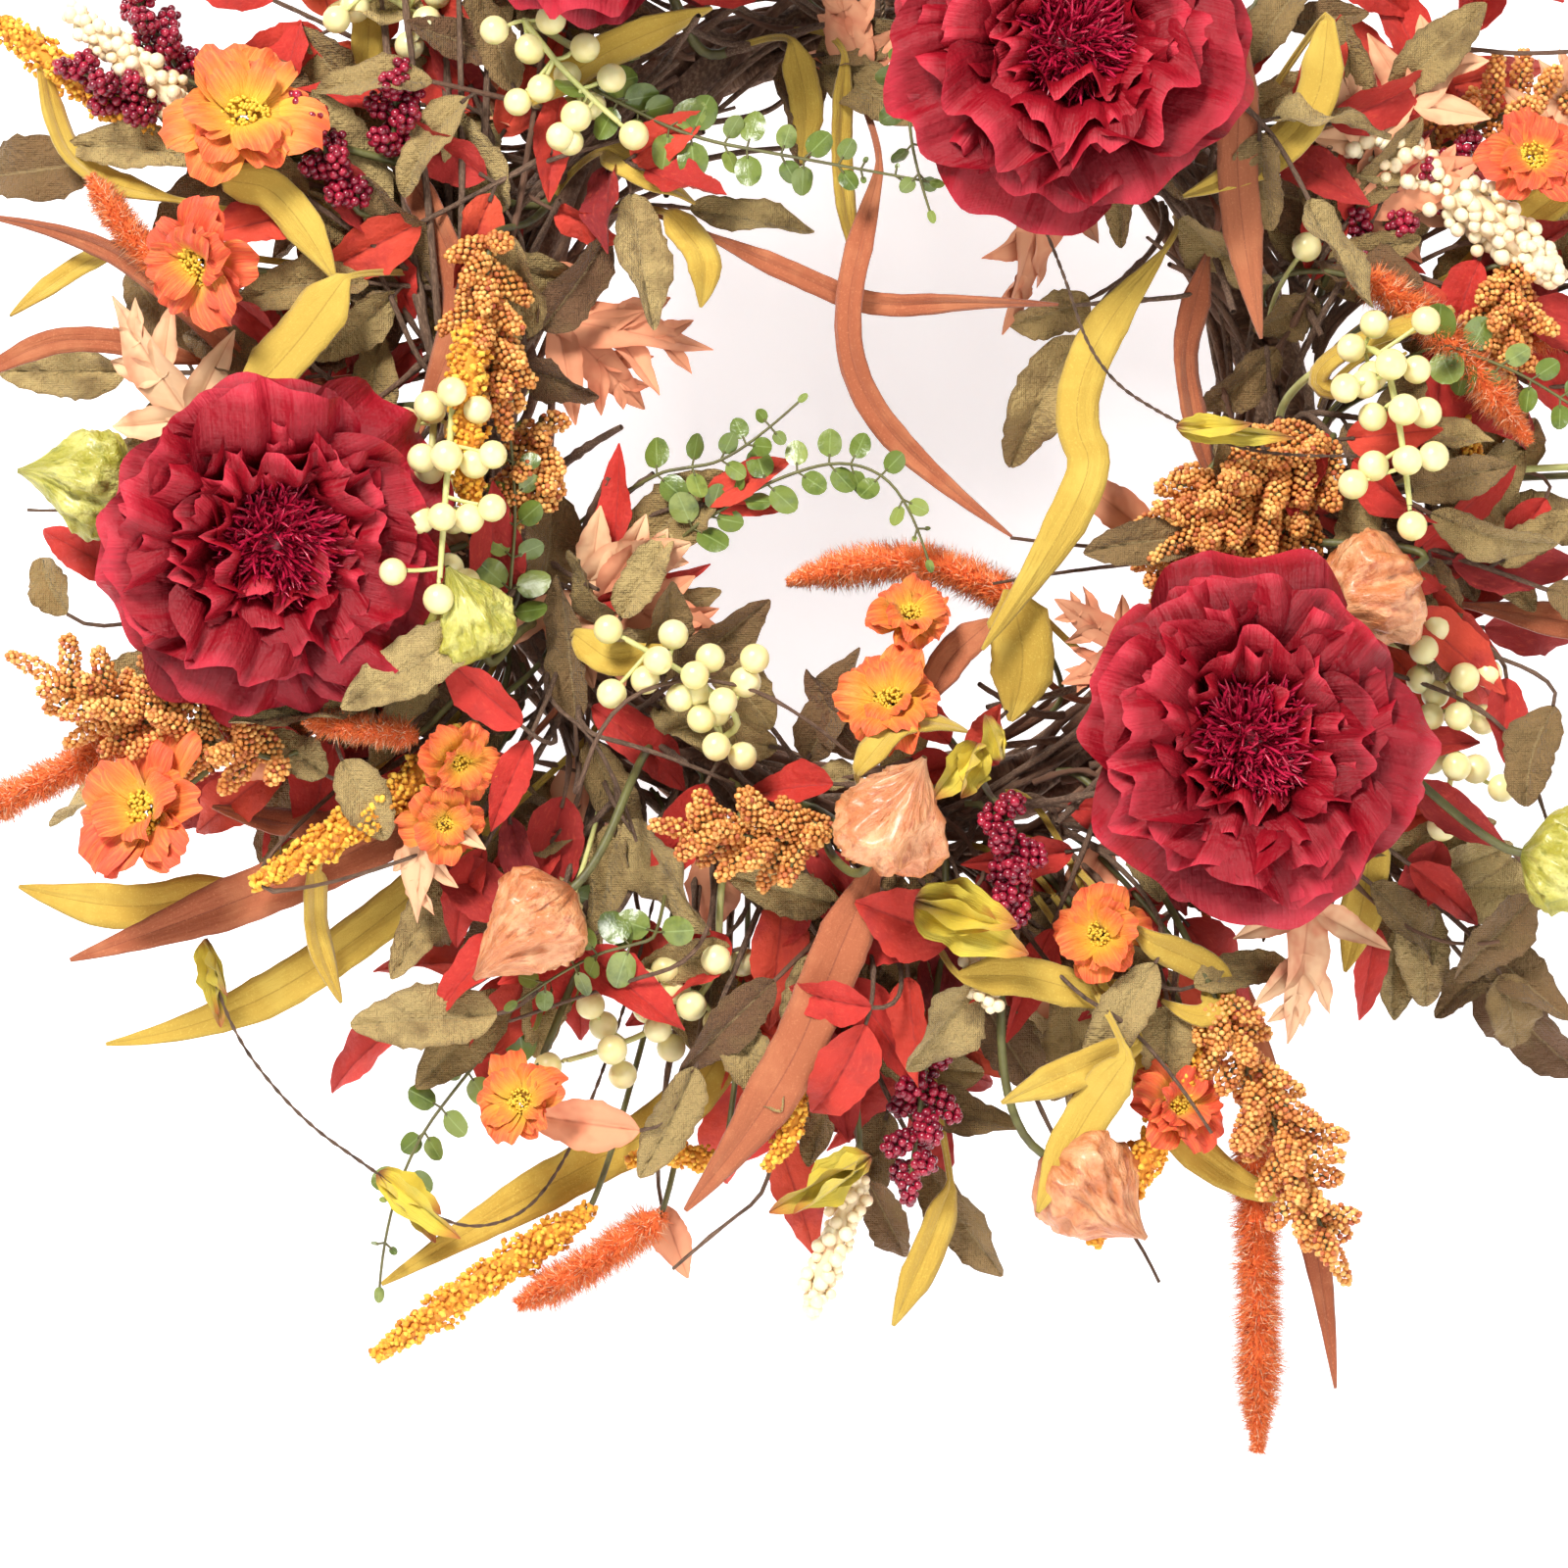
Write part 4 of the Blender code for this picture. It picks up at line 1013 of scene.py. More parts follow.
def foxtail(heap, stems, corners, radius, rng, bare):
    """A stem with a soft brush of short fibres."""
    points = curve(corners, 60)
    length = gaps(points).sum()
    along, side, normal = frames(points)
    share = np.linspace(0, 1, 60)
    head = (share - bare) / (1 - bare)
    size = radius * np.minimum(np.minimum(1, 0.55 + 5 * head), 0.22 + 3.4 * (1 - head))
    size = size * (1 + 0.12 * ripple(rng, share, 16, 2))
    headed(heap, stems, points, size, head, 0.50, rng)
    count = int(FIBRES * length * (1 - bare))
    place = bare + (1 - bare) * rng.random(count)
    k = np.minimum((place * 59).astype(int), 59)
    turn = rng.random(count) * TAU
    spoke = fan(side[k], normal[k], turn)
    spine = np.stack([np.interp(place, share, points[:, c]) for c in range(3)], 1)
    ways = spoke + along[k] * rng.uniform(-0.1, 0.9, count)[:, None] + rng.normal(0, 0.45, (count, 3))
    roots = spine + spoke * (size[k] * 0.42)[:, None]
    heap.spines(roots, ways, size[k] * rng.uniform(0.30, 1.0, count), 0.00024, rng.random(count))


def berry(heap, stems, root, way, stalk, radius, rng):
    way = unit(way)
    middle = root + way * (stalk + radius)
    knee = root + way * stalk * 0.5 + rng.normal(0, 0.0006, 3)
    stems.tube(curve([root, knee, root + way * stalk], 5), 0.0008, 5)
    heap.balls([middle], radius * rng.uniform(0.94, 1.06), BALL, [rng.random()])


def berry_spray(heap, stems, corners, shares, rng):
    """Round berries on forked stalks: left, right and forward at each joint, then three more."""
    points = curve(corners, 40)
    stems.tube(points, np.linspace(0.0016, 0.0010, 40), 7)
    along, side, normal = frames(points)
    lean = math.radians(62)
    for share in shares:
        k = min(int(share * 39), 39)
        for spoke in (side[k], -side[k], normal[k]):
            way = turned(along[k], spoke, lean) + rng.normal(0, 0.06, 3)
            berry(heap, stems, points[k], way, 0.0045 * rng.uniform(0.8, 1.5), BERRY_RADIUS, rng)
    berry(heap, stems, points[-1], along[-1], 0.002, BERRY_RADIUS, rng)
    for _ in range(3):
        k = rng.integers(int(shares[0] * 39), 39)
        spoke = side[k] * rng.choice((-1, 1)) + normal[k] * rng.uniform(0.0, 0.5)
        stalk = rng.uniform(0.011, 0.015)
        berry(heap, stems, points[k], spoke + along[k] * 0.2, stalk, BERRY_RADIUS * 0.95, rng)


# ---- the ring

HANGER_CLOCK = 90
HANGER_WIRE = 0.0011
BAND_ORBIT = 0.019175
HUMP_SIDE, HUMP_RISE, HUMP_WIDTH = -45, 0.0043, 22  # where the band rises off the vine, and its half width
LOOP_REACH = 0.013  # half the width of the loop
TWISTS = 26
TUCK_DEPTH, TUCK_WIDTH = 0.46, 16  # how far in, and how wide, loose vines keep clear of the hanger


def wound(clock_turns, phase, orbit, count, rng=None, wander=0.0):
    """A vine's path round the bundle. With rng it wanders, and keeps clear of the hanger."""
    share = np.arange(count) / count
    if rng is not None:
        drift, lift = (wander * ripple(rng, share, waves, 2) for waves in (3, 4))
    points = []
    for k in range(count):
        clock, side = 360 * share[k], 360 * clock_turns * share[k] + phase
        if rng is None:
            points.append(on_vine(clock, side, orbit))
            continue
        tuck = 1 - TUCK_DEPTH * math.exp(-(((clock - HANGER_CLOCK) / TUCK_WIDTH) ** 4))
        points.append(on_vine(clock, side, (orbit + drift[k]) * tuck) + FRONT * (lift[k] * 0.4 * tuck))
    return np.array(points)


def vine(heap, points, radius, sides, rng, tone, bark=0.10, knots=9):
    """A closed vine with bark ridges and knots."""
    count = len(points)
    flat = points - CENTRE - FRONT * RING_DEPTH
    flat[:, 1] = 0
    middle = CENTRE + FRONT * RING_DEPTH + unit(flat) * RING_RADIUS
    side, other = round_loop(points, middle)
    angle = np.arange(sides) / sides * TAU
    share = np.arange(count) / count
    swell = np.ones(count)
    for place in rng.random(knots):
        gap = np.abs((share - place + 0.5) % 1 - 0.5) * TAU * RING_RADIUS
        swell += 0.22 * np.exp(-((gap / 0.005) ** 2))
    ridge = sum(
        np.sin(angle[None] * m + TAU * share[:, None] * n + rng.random() * TAU)
        for m, n in ((3, 2), (4, -3), (5, 5))
    )
    size = radius * swell[:, None] * (1 + bark * ridge / 3 + bark * 0.5 * rng.uniform(-1, 1, (count, sides)))
    size = np.minimum(size, radius * 1.12)
    cloud = points[:, None] + rings(side, other, angle) * size[..., None]
    cloud = np.concatenate([cloud, cloud[:1]])
    along = np.linspace(0, 8, count + 1)[:, None]
    heap.grid(cloud, along, np.sin(angle)[None], tone, closed=True)


def grapevine_ring():
    rng = np.random.default_rng(3)
    for k in range(3):
        heap = Heap()
        points = wound(STRAND_TURNS, 120 * k, STRAND_ORBIT, 300)
        vine(heap, points, STRAND_RADIUS, 14, rng, 0.2 + 0.25 * k)
        name = f"grapevine_strand_{k + 1}"
        heap.make(name, "grapevine", replaces=[name])
    for k in range(2):
        heap = Heap()
        points = wound(BINDING_TURNS, 180 * k + 40, BINDING_ORBIT, 420)
        vine(heap, points, BINDING_RADIUS, 8, rng, 0.8, knots=4)
        name = f"binding_vine_{k + 1}"
        heap.make(name, "grapevine", replaces=[name])
    loose = Heap()
    for k in range(9):
        orbit, turns = rng.uniform(0.017, 0.023), int(rng.integers(1, 4)) * (1, -1)[k % 2]
        points = wound(turns, rng.uniform(0, 360), orbit, 300, rng, 0.0035)
        points[:, 1] = np.minimum(points[:, 1], -0.0022)
        vine(loose, points, rng.uniform(0.0010, 0.0019), 7, rng, rng.random(), 0.14, 5)
    loose.make("loose_vines", "grapevine")


def hanger():
    """A twisted pair of wires: a band tied round the vine, and the loop that swings in its hump."""
    pivot = np.array(frame["record"]["behaviour"]["joints"][0]["pos_m"], float)
    count = 220
    share = np.arange(count) / count
    twist = TAU * TWISTS * share
    band_points = []
    for k in range(count):
        side = 360 * share[k]
        away = (side - HUMP_SIDE + 180) % 360 - 180
        orbit = BAND_ORBIT + HUMP_RISE * math.exp(-((away / HUMP_WIDTH) ** 2))
        band_points.append(on_vine(HANGER_CLOCK, side, orbit))
    top = np.array((0, -HANGER_WIRE, HANGER_WIRE))
    angle = TAU * share
    rise = ((1 - np.cos(angle)) / 2)[:, None]
    loop_points = pivot + (top - pivot) * rise
    loop_points[:, 0] += LOOP_REACH * np.sin(angle) * (0.75 + 0.25 * rise[:, 0])
    for name, body, points in (
        ("hanger_band", "wreath", np.array(band_points)),
        ("hanger_loop", "hanger", loop_points),
    ):
        heap = Heap()
        side, other = round_loop(points, points.mean(0))
        for phase in (0, math.pi):
            turn = (twist + phase)[:, None]
            strand = points + (side * np.cos(turn) + other * np.sin(turn)) * HANGER_WIRE * 0.47
            heap.tube(np.concatenate([strand, strand[:2]]), HANGER_WIRE * 0.52, 8)
        heap.make(name, "hanger_wire", body=body, replaces=[name])


# ---- picks that the CAD model has


def cad_peonies():
    for name, clock, path, facing, seed in (
        ("peony_1", 188, [(189, 12, 70), (191, 60, 88), (192, 78, 96)], (0.28, -1, -0.14), 11),
        ("peony_2", 316, [(316, 5, 66), (316, 20, 88), (316, 28, 101)], (0.10, -1, 0.10), 12),
        ("peony_3", 63, [(63, -2, 66), (63, -4, 80), (63, -5, 96)], (0.05, -1, 0.10), 13),
        ("peony_4", 117, [(117, 20, 62), (117, 52, 78), (117, 62, 90)], (-0.18, -1, 0.20), 14),
    ):
        peony(name, stem_corners(clock, FACE, path), facing, seed)


def cad_pods():
    stems = Heap()
    for name, clock, path, scale in (
        ("orange_pod_1", 341, [(342, 6, 68), (346, 62, 84), (343, 50, 88)], 1.06),
        ("orange_pod_2", 262, [(262, 14, 84), (267, 24, 108), (268, 16, 112)], 1.0),
        ("orange_pod_3", 235, [(235, 8, 80), (238, 48, 96), (237, 58, 98)], 1.0),
        ("orange_pod_4", 286, [(284, 30, 72), (279, 112, 80), (282, 124, 80)], 1.0),
        ("green_pod_1", 178, [(180, 50, 74), (187, 112, 84), (186, 120, 84)], 0.9),
        ("green_pod_2", 211, [(211, 8, 80), (214, 24, 94), (212, 22, 96)], 0.8),
        ("green_pod_3", 327, [(326, 60, 76), (324, 122, 86), (325, 128, 88)], 0.95),
    ):
        points = curve(stem_corners(clock, FACE, path), 30)
        stems.tube(points, 0.0016, 7)
        seed = 40 + len(name) + int(clock)
        pod(name, name[:-2], points[-1], points[-1] - points[-2], POD_LENGTH * scale, seed)
    stems.make("pod_stems", "green_stem")


def cad_heads():
    """Small flowers, berries, and heads of beads, grains or fibres."""
    stems = Heap()
    for name, clock, side, path, tone, facing in (
        ("orange_flower_1", 203, FRONT_OUTER,
         [(204, 60, 70), (209, 148, 84), (209, 148, 100)], 0.85, (-0.6, -1, 0.15)),
        ("orange_flower_2", 150, FACE,
         [(152, 40, 66), (156, 103, 74), (156, 103, 86)], 0.35, (0.1, -1, 0.5)),
    ):
        points = curve(stem_corners(clock, side, path), 30)
        stems.tube(points, 0.0015, 7)
        small_flower(name, points[-1] - FRONT * 0.002, facing, 0.026, tone, int(clock), [name])
    pale = Heap()
    for name, clock, side, path in (
        ("cream_berries_1", 3, FACE, [(8, 26, 90), (4, 34, 106), (349, 42, 106)]),
        ("cream_berries_2", 178, FRONT_INNER, [(179, 16, 82), (184, 16, 90), (203, 36, 90)]),
        ("cream_berries_3", 244, FRONT_INNER, [(242, -6, 84), (248, -26, 92), (222, -20, 92)]),
        ("cream_berries_4", 251, FACE, [(250, 30, 62), (255, 80, 64), (244, 112, 64)]),
        ("cream_berries_5", 334, FRONT_OUTER, [(336, 66, 60), (337, 84, 60), (325, 100, 60)]),
    ):
        rng = np.random.default_rng(int(clock) + 100)
        heap = Heap()
        berry_spray(heap, pale, stem_corners(clock, side, path), (0.50, 0.62, 0.74, 0.86), rng)
        heap.make(name, "cream_berry", replaces=[name])
    for name, slot, clock, side, path, start, lobes in (
        ("burgundy_beads_1", "burgundy_bead", 285, FRONT_INNER,
         [(285, 0, 80), (287, 4, 96), (285, 34, 98)], 0.62, 9),
        ("burgundy_beads_2", "burgundy_bead", 279, FACE,
         [(277, 40, 62), (274, 80, 68), (272, 126, 70)], 0.64, 11),
        ("sorghum_head_1", "sorghum_bead", 197, FACE,
         [(198, 40, 76), (200, 80, 84), (202, 150, 84)], 0.50, 24),
        ("sorghum_head_2", "sorghum_bead", 356, FRONT_INNER,
         [(354, -20, 62), (346, -28, 66), (330, -26, 66)], 0.46, 22),
        ("sorghum_head_3", "sorghum_bead", 300, FACE,
         [(300, 60, 76), (299, 110, 84), (298, 186, 82)], 0.54, 34),
    ):
        rng = np.random.default_rng(int(clock) + 200)
        heap = Heap()
        corners = stem_corners(clock, side, path)
        if slot == "burgundy_bead":
            lobed_head(heap, stems, corners, start, lobes, (0.013, 0.0038), 0.0017, rng, BEAD)
        else:
            lobed_head(heap, stems, corners, start, lobes, (0.021, 0.0037), 0.0011, rng)
        heap.make(name, slot, replaces=[name])
    for name, slot, clock, side, path, bare in (
        ("cream_bead_spike_1", "cream_bead", 42, FACE, [(36, 36, 62), (24, 70, 64), (11, 100, 64)], 0.3),
        ("amaranth_spike_1", "gold_floss", 170, FACE,
         [(170, 4, 94), (172, 4, 106), (184, 4, 106), (197, 8, 104)], 0.4),
        ("amaranth_spike_2", "gold_floss", 216, FACE,
         [(217, 40, 78), (219, 80, 84), (217, 134, 84)], 0.4),
        ("foxtail_1", "orange_fuzz", 304, INNER,
         [(306, -48, 48), (304, -66, 50), (276, -92, 50), (240, -72, 50)], 0.35),
        ("foxtail_2", "orange_fuzz", 20, FACE, [(18, 24, 70), (10, 54, 76), (357, 84, 76)], 0.35),
    ):
        rng = np.random.default_rng(int(clock) + 300)
        heap = Heap()
        corners = stem_corners(clock, side, path)
        if slot == "orange_fuzz":
            foxtail(heap, stems, corners, 0.0078, rng, bare)
        elif slot == "cream_bead":
            granule_spike(heap, stems, corners, 0.0104, 0.0026, rng, bare, BEAD, 0.9, 0.0)
        else:
            granule_spike(heap, stems, corners, 0.0068, 0.00115, rng, bare)
        heap.make(name, slot, replaces=[name])
    stems.make("head_stems", "green_stem")
    pale.make("berry_stems", "green_stem", material="pale_stem")


def cad_straps():
    curl = [(31, -19, 76), (20, -62, 78), (356, -76, 78), (342, -60, 78), (292, -50, 78)]
    for name, clock, side, path, width, tone in (
        ("mustard_strap_1", 36, FRONT_INNER, curl, 0.015, 0.6),
        ("mustard_strap_2", 228, FACE,
         [(227, 40, 48), (225, 130, 50), (222, 184, 50), (219, 212, 50)], 0.016, 0.6),
        ("mustard_strap_3", 292, FACE,
         [(293, 60, 60), (291, 130, 62), (297, 176, 62), (300, 160, 66)], 0.014, 0.5),
        ("mustard_strap_4", 257, FACE,
         [(257, 34, 44), (256, 110, 44), (246, 158, 44), (240, 214, 44)], 0.017, 0.4),
        ("mustard_strap_5", 106, OUTER, [(108, 60, 30), (112, 120, 32), (106, 200, 30)], 0.016, 0.5),
        ("rust_strap_1", 270, FACE,
         [(270, 10, 80), (265, 50, 84), (261, 104, 84), (256, 146, 82)], 0.019, 0.6),
        ("rust_strap_2", 222, FACE, [(223, 60, 68), (217, 150, 70), (214, 202, 70)], 0.018, 0.4),
        ("rust_strap_3", 305, OUTER,
         [(303, 80, 34), (299, 150, 34), (298, 190, 34), (295, 240, 34)], 0.012, 0.3),
    ):
        rng = np.random.default_rng(int(clock) + 400)
        heap = Heap()
        strap(heap, stem_corners(clock, side, path), width, rng, tone)
        heap.make(name, name[:-2], replaces=[name])


def cad_leaves():
    stems = Heap()
    two = (0.45, 0.70)
    for name, slot, clock, side, path, joints, long, wide in (
        ("felt_leaves_1", "felt_leaf", 143, FACE,
         [(148, 50, 46), (156, 100, 46), (162, 150, 46)], two, 1.0, 1.0),
        ("felt_leaves_2", "felt_leaf", 204, OUTER,
         [(207, 50, 38), (208, 96, 38), (206, 136, 38)], two, 1.0, 1.0),
        ("felt_leaves_3", "felt_leaf", 50, FRONT_OUTER,
         [(46, 14, 80), (38, 26, 90), (26, 22, 92)], (0.7,), 0.8, 0.9),
        ("felt_leaves_4", "felt_leaf", 322, OUTER,
         [(320, 70, 26), (318, 110, 26), (317, 150, 26)], two, 1.0, 1.0),
        ("felt_leaves_5", "felt_leaf", 14, OUTER,
         [(14, 60, 26), (11, 110, 26), (9, 150, 26)], two, 1.0, 1.0),
        ("red_leaves_1", "red_leaf", 133, FACE,
         [(137, 4, 66), (146, 10, 72), (158, 34, 72)], (0.72,), 0.8, 0.8),
        ("red_leaves_2", "red_leaf", 240, OUTER,
         [(238, 60, 30), (236, 95, 30), (232, 130, 30)], two, 0.85, 0.8),
        ("red_leaves_3", "red_leaf", 72, OUTER,
         [(71, 60, 24), (72, 110, 24), (76, 158, 24)], two, 1.0, 1.0),
    ):
        rng = np.random.default_rng(int(clock) + 500)
        heap = Heap()
        style, tones = (FELT, (0.05, 1)) if slot == "felt_leaf" else (RED, (0.25, 1))
        corners = stem_corners(clock, side, path)
        sprig(heap, stems, corners, joints, 0.050 * long, 0.024 * wide, style, rng, tones)
        heap.make(name, slot, replaces=[name])
    stems.make("leaf_stems", "grapevine")

    heap, stems = Heap(), Heap()
    hanging = stem_corners(245.5, FACE, [(242, 50, 52), (238, 120, 53), (237, 180, 53), (240, 214, 53)])
    coin_sprig(heap, stems, hanging, 0.0150, np.random.default_rng(600), bare=0.3)
    heap.make("eucalyptus_1", "eucalyptus_leaf", replaces=["eucalyptus_1"])
    stems.make("eucalyptus_stems", "green_stem")


# ---- the repeats of these picks, which the CAD model leaves out

FELT_ROWS = (  # right, up of the foot and of the tip, width, depth, tone
    (-240, 90, -284, 100, 17, 60, 0.8), (-202, 73, -237, 100, 20, 66, 0.7),
    (-163, 97, -193, 117, 20, 62, 0.6), (-168, 117, -150, 137, 17, 60, 0.5),
    (-132, 70, -153, 103, 20, 70, 0.75), (-180, 87, -155, 57, 12, 60, 0.6),
    (-142, 53, -98, 37, 17, 74, 0.7), (-88, 75, -80, 30, 20, 78, 0.8), (-68, 72, -26, 67, 16, 60, 0.85),
    (-180, -102, -222, -108, 17, 100, 0.7), (-142, -77, -182, -103, 21, 112, 0.85),
    (-193, -127, -213, -112, 15, 92, 0.8), (-187, -122, -170, -148, 18, 96, 0.7),
    (-120, -63, -110, -27, 22, 60, 0.25), (-108, -108, -113, -60, 18, 72, 0.2),
    (-88, -50, -60, -22, 25, 58, 0.45), (-93, -77, -59, -63, 15, 60, 0.3),
    (68, 27, 40, -18, 22, 60, 0.7), (72, 40, 47, 27, 17, 62, 0.6), (113, 93, 83, 108, 20, 80, 0.65),
    (103, 67, 127, 37, 20, 74, 0.65), (153, 40, 133, 28, 18, 56, 0.3), (138, 23, 117, -5, 17, 58, 0.25),
    (128, 80, 168, 67, 22, 60, 0.1), (198, -13, 213, -50, 20, 66, 0.6),
    (-135, -210, -183, -212, 23, 74, 0.8), (32, -200, 10, -228, 26, 88, 0.7),
    (93, -192, 68, -230, 18, 92, 0.75), (98, -207, 97, -235, 20, 80, 0.7),
    (107, -200, 138, -185, 15, 86, 0.6), (-5, -270, 7, -297, 15, 60, 0.1),
    (35, -207, 53, -237, 20, 70, 0.1), (228, -170, 202, -197, 20, 60, 0.15),
    (217, -197, 228, -225, 20, 56, 0.3), (212, -193, 195, -210, 14, 54, 0.2),
    (232, -103, 212, -130, 20, 80, 0.25), (-288, -70, -304, -50, 15, 50, 0.4),
    (95, 150, 70, 185, 20, 60, 0.6), (-45, 160, -70, 190, 20, 60, 0.7), (250, 10, 290, 5, 20, 50, 0.6),
)
RED_ROWS = (
    (-113, 110, -119, 75, 14, 76, 0.7), (-115, 70, -90, 58, 14, 72, 0.7),
    (-173, 57, -168, 33, 16, 66, 0.6), (-142, 53, -127, 65, 15, 60, 0.3),
    (-95, -50, -92, -13, 13, 64, 0.6), (-63, -32, -35, -15, 13, 66, 0.75),
    (-62, -32, -33, -33, 8, 66, 0.7), (-125, -110, -153, -87, 18, 104, 0.55),
    (-123, -115, -137, -145, 13, 96, 0.6), (-265, -57, -297, -40, 17, 60, 0.4),
    (-102, -67, -60, -60, 10, 66, 0.6), (-102, -103, -62, -130, 18, 70, 0.3),
    (-62, -130, -80, -168, 18, 84, 0.45), (-18, -130, -50, -130, 16, 84, 0.5),
    (-128, -177, -158, -153, 20, 84, 0.2), (-128, -183, -163, -202, 15, 80, 0.55),
    (-102, -183, -132, -200, 16, 78, 0.5), (-105, -187, -72, -213, 18, 84, 0.6),
    (23, -183, -9, -172, 26, 92, 0.65), (-5, -207, -37, -203, 16, 96, 0.6),
    (-7, -213, -22, -250, 22, 94, 0.65), (8, -197, 10, -233, 16, 84, 0.7),
    (195, -150, 183, -178, 17, 62, 0.2), (173, -180, 169, -215, 12, 56, 0.6),
    (208, 53, 195, 25, 17, 66, 0.5), (202, 103, 187, 132, 12, 60, 0.7),
    (-210, 117, -207, 140, 15, 56, 0.6), (-55, -183, -75, -202, 20, 70, 0.35),
    (-25, -173, -48, -184, 16, 74, 0.5), (115, 117, 132, 132, 20, 60, 0.6),
    (218, -93, 215, -122, 15, 64, 0.3), (232, -30, 212, -58, 16, 62, 0.6),
    (40, -193, 28, -205, 12, 88, 0.6),
)
OAK_ROWS = (
    (-240, -6, -272, 36, 20, 64, 0.95), (-120, 34, -62, 26, 20, 62, 0.3), (60, 88, 46, 30, 22, 62, 0.5),
    (147, -168, 143, -217, 17, 88, 0.9), (-156, -134, -168, -176, 15, 90, 0.8),
    (-112, 30, -84, 2, 15, 60, 0.35), (-6, 118, -20, 150, 18, 60, 0.5), (232, 96, 246, 128, 15, 60, 0.8),
)
LANCE_ROWS = (
    (-85, -250, -127, -245, 18, 86, 0.15), (97, -45, 63, -18, 15, 58, 0.2),
    (-78, -278, -70, -303, 14, 56, 0.3), (-205, -116, -228, -128, 14, 84, 0.2),
    (-108, 52, -128, 30, 18, 56, 0.2),
)
STRAP_ROWS = {  # by slot: width, depth, tone, then (right, up) of its points
    "mustard_strap": (
        (20, 92, 0.7, (-190, 40), (-207, 17), (-226, -2)),
        (14, 84, 0.65, (-227, 78), (-207, 76), (-190, 44)),
        (10, 60, 0.5, (-256, 77), (-276, 82), (-292, 98), (-296, 135)),
        (12, 56, 0.6, (-180, 150), (-182, 113)), (13, 72, 0.6, (-118, 110), (-95, 126), (-60, 140)),
        (12, 60, 0.6, (-31, 125), (-26, 105), (-29, 88)), (8, 60, 0.5, (-14, 117), (-16, 80), (-8, 45)),
        (15, 88, 0.65, (152, 130), (150, 103), (128, 82), (103, 73)),
        (8, 80, 0.5, (192, 33), (160, 22), (147, 10), (160, 4), (180, 19)),
        (22, 66, 0.45, (45, -67), (50, -90), (44, -108)),
        (16, 54, 0.55, (-235, -168), (-270, -176), (-304, -166)),
        (13, 86, 0.5, (84, -221), (62, -230), (40, -240)),
        (16, 90, 0.7, (80, -228), (66, -250), (52, -277)),
        (13, 66, 0.5, (22, -275), (14, -296), (3, -319)),
        (14, 84, 0.45, (30, -196), (55, -196), (82, -208)),
        (15, 60, 0.5, (170, -150), (168, -175), (162, -196)),
        (8, 50, 0.5, (-272, 58), (-290, 50), (-306, 34)),
        (11, 70, 0.4, (-198, -163), (-199, -185), (-189, -206)),
        (12, 76, 0.5, (-105, -80), (-92, -90), (-75, -82)),
        (14, 74, 0.6, (-95, 90), (-84, 84), (-66, 72)), (12, 76, 0.5, (-72, 65), (-60, 50), (-64, 36)),
        (12, 100, 0.6, (-7, -122), (8, -104), (28, -112)),
        (12, 82, 0.5, (95, -186), (118, -196), (112, -215), (96, -205)),
        (14, 50, 0.6, (60, 170), (95, 220), (105, 280)), (14, 50, 0.6, (215, 60), (260, 95), (320, 100)),
    ),
    "rust_strap": (
        (8, 56, 0.5, (-222, 16), (-250, 42), (-280, 64), (-318, 70)),
        (9, 54, 0.4, (-246, 20), (-276, 27), (-300, 24), (-325, 8)),
        (13, 66, 0.3, (-178, -143), (-205, -146), (-235, -138)),
        (8, 76, 0.5, (-56, 58), (-30, 46), (-5, 36), (28, 38), (60, 36)),
        (10, 70, 0.5, (-4, 75), (-15, 32), (-8, 4), (16, -22), (44, -44)),
        (11, 60, 0.4, (110, 45), (102, 10), (116, -28)), (14, 84, 0.7, (123, 120), (120, 70), (130, 24)),
        (13, 74, 0.6, (34, -76), (20, -88), (14, -105)),
        (12, 70, 0.5, (-170, 90), (-152, 58), (-147, 37), (-155, 8), (-168, -18)),
        (12, 45, 0.2, (-272, -140), (-271, -162)), (13, 50, 0.5, (-60, 170), (-80, 230), (-120, 290)),
        (13, 45, 0.4, (225, -70), (280, -80), (335, -60)),
    ),
}
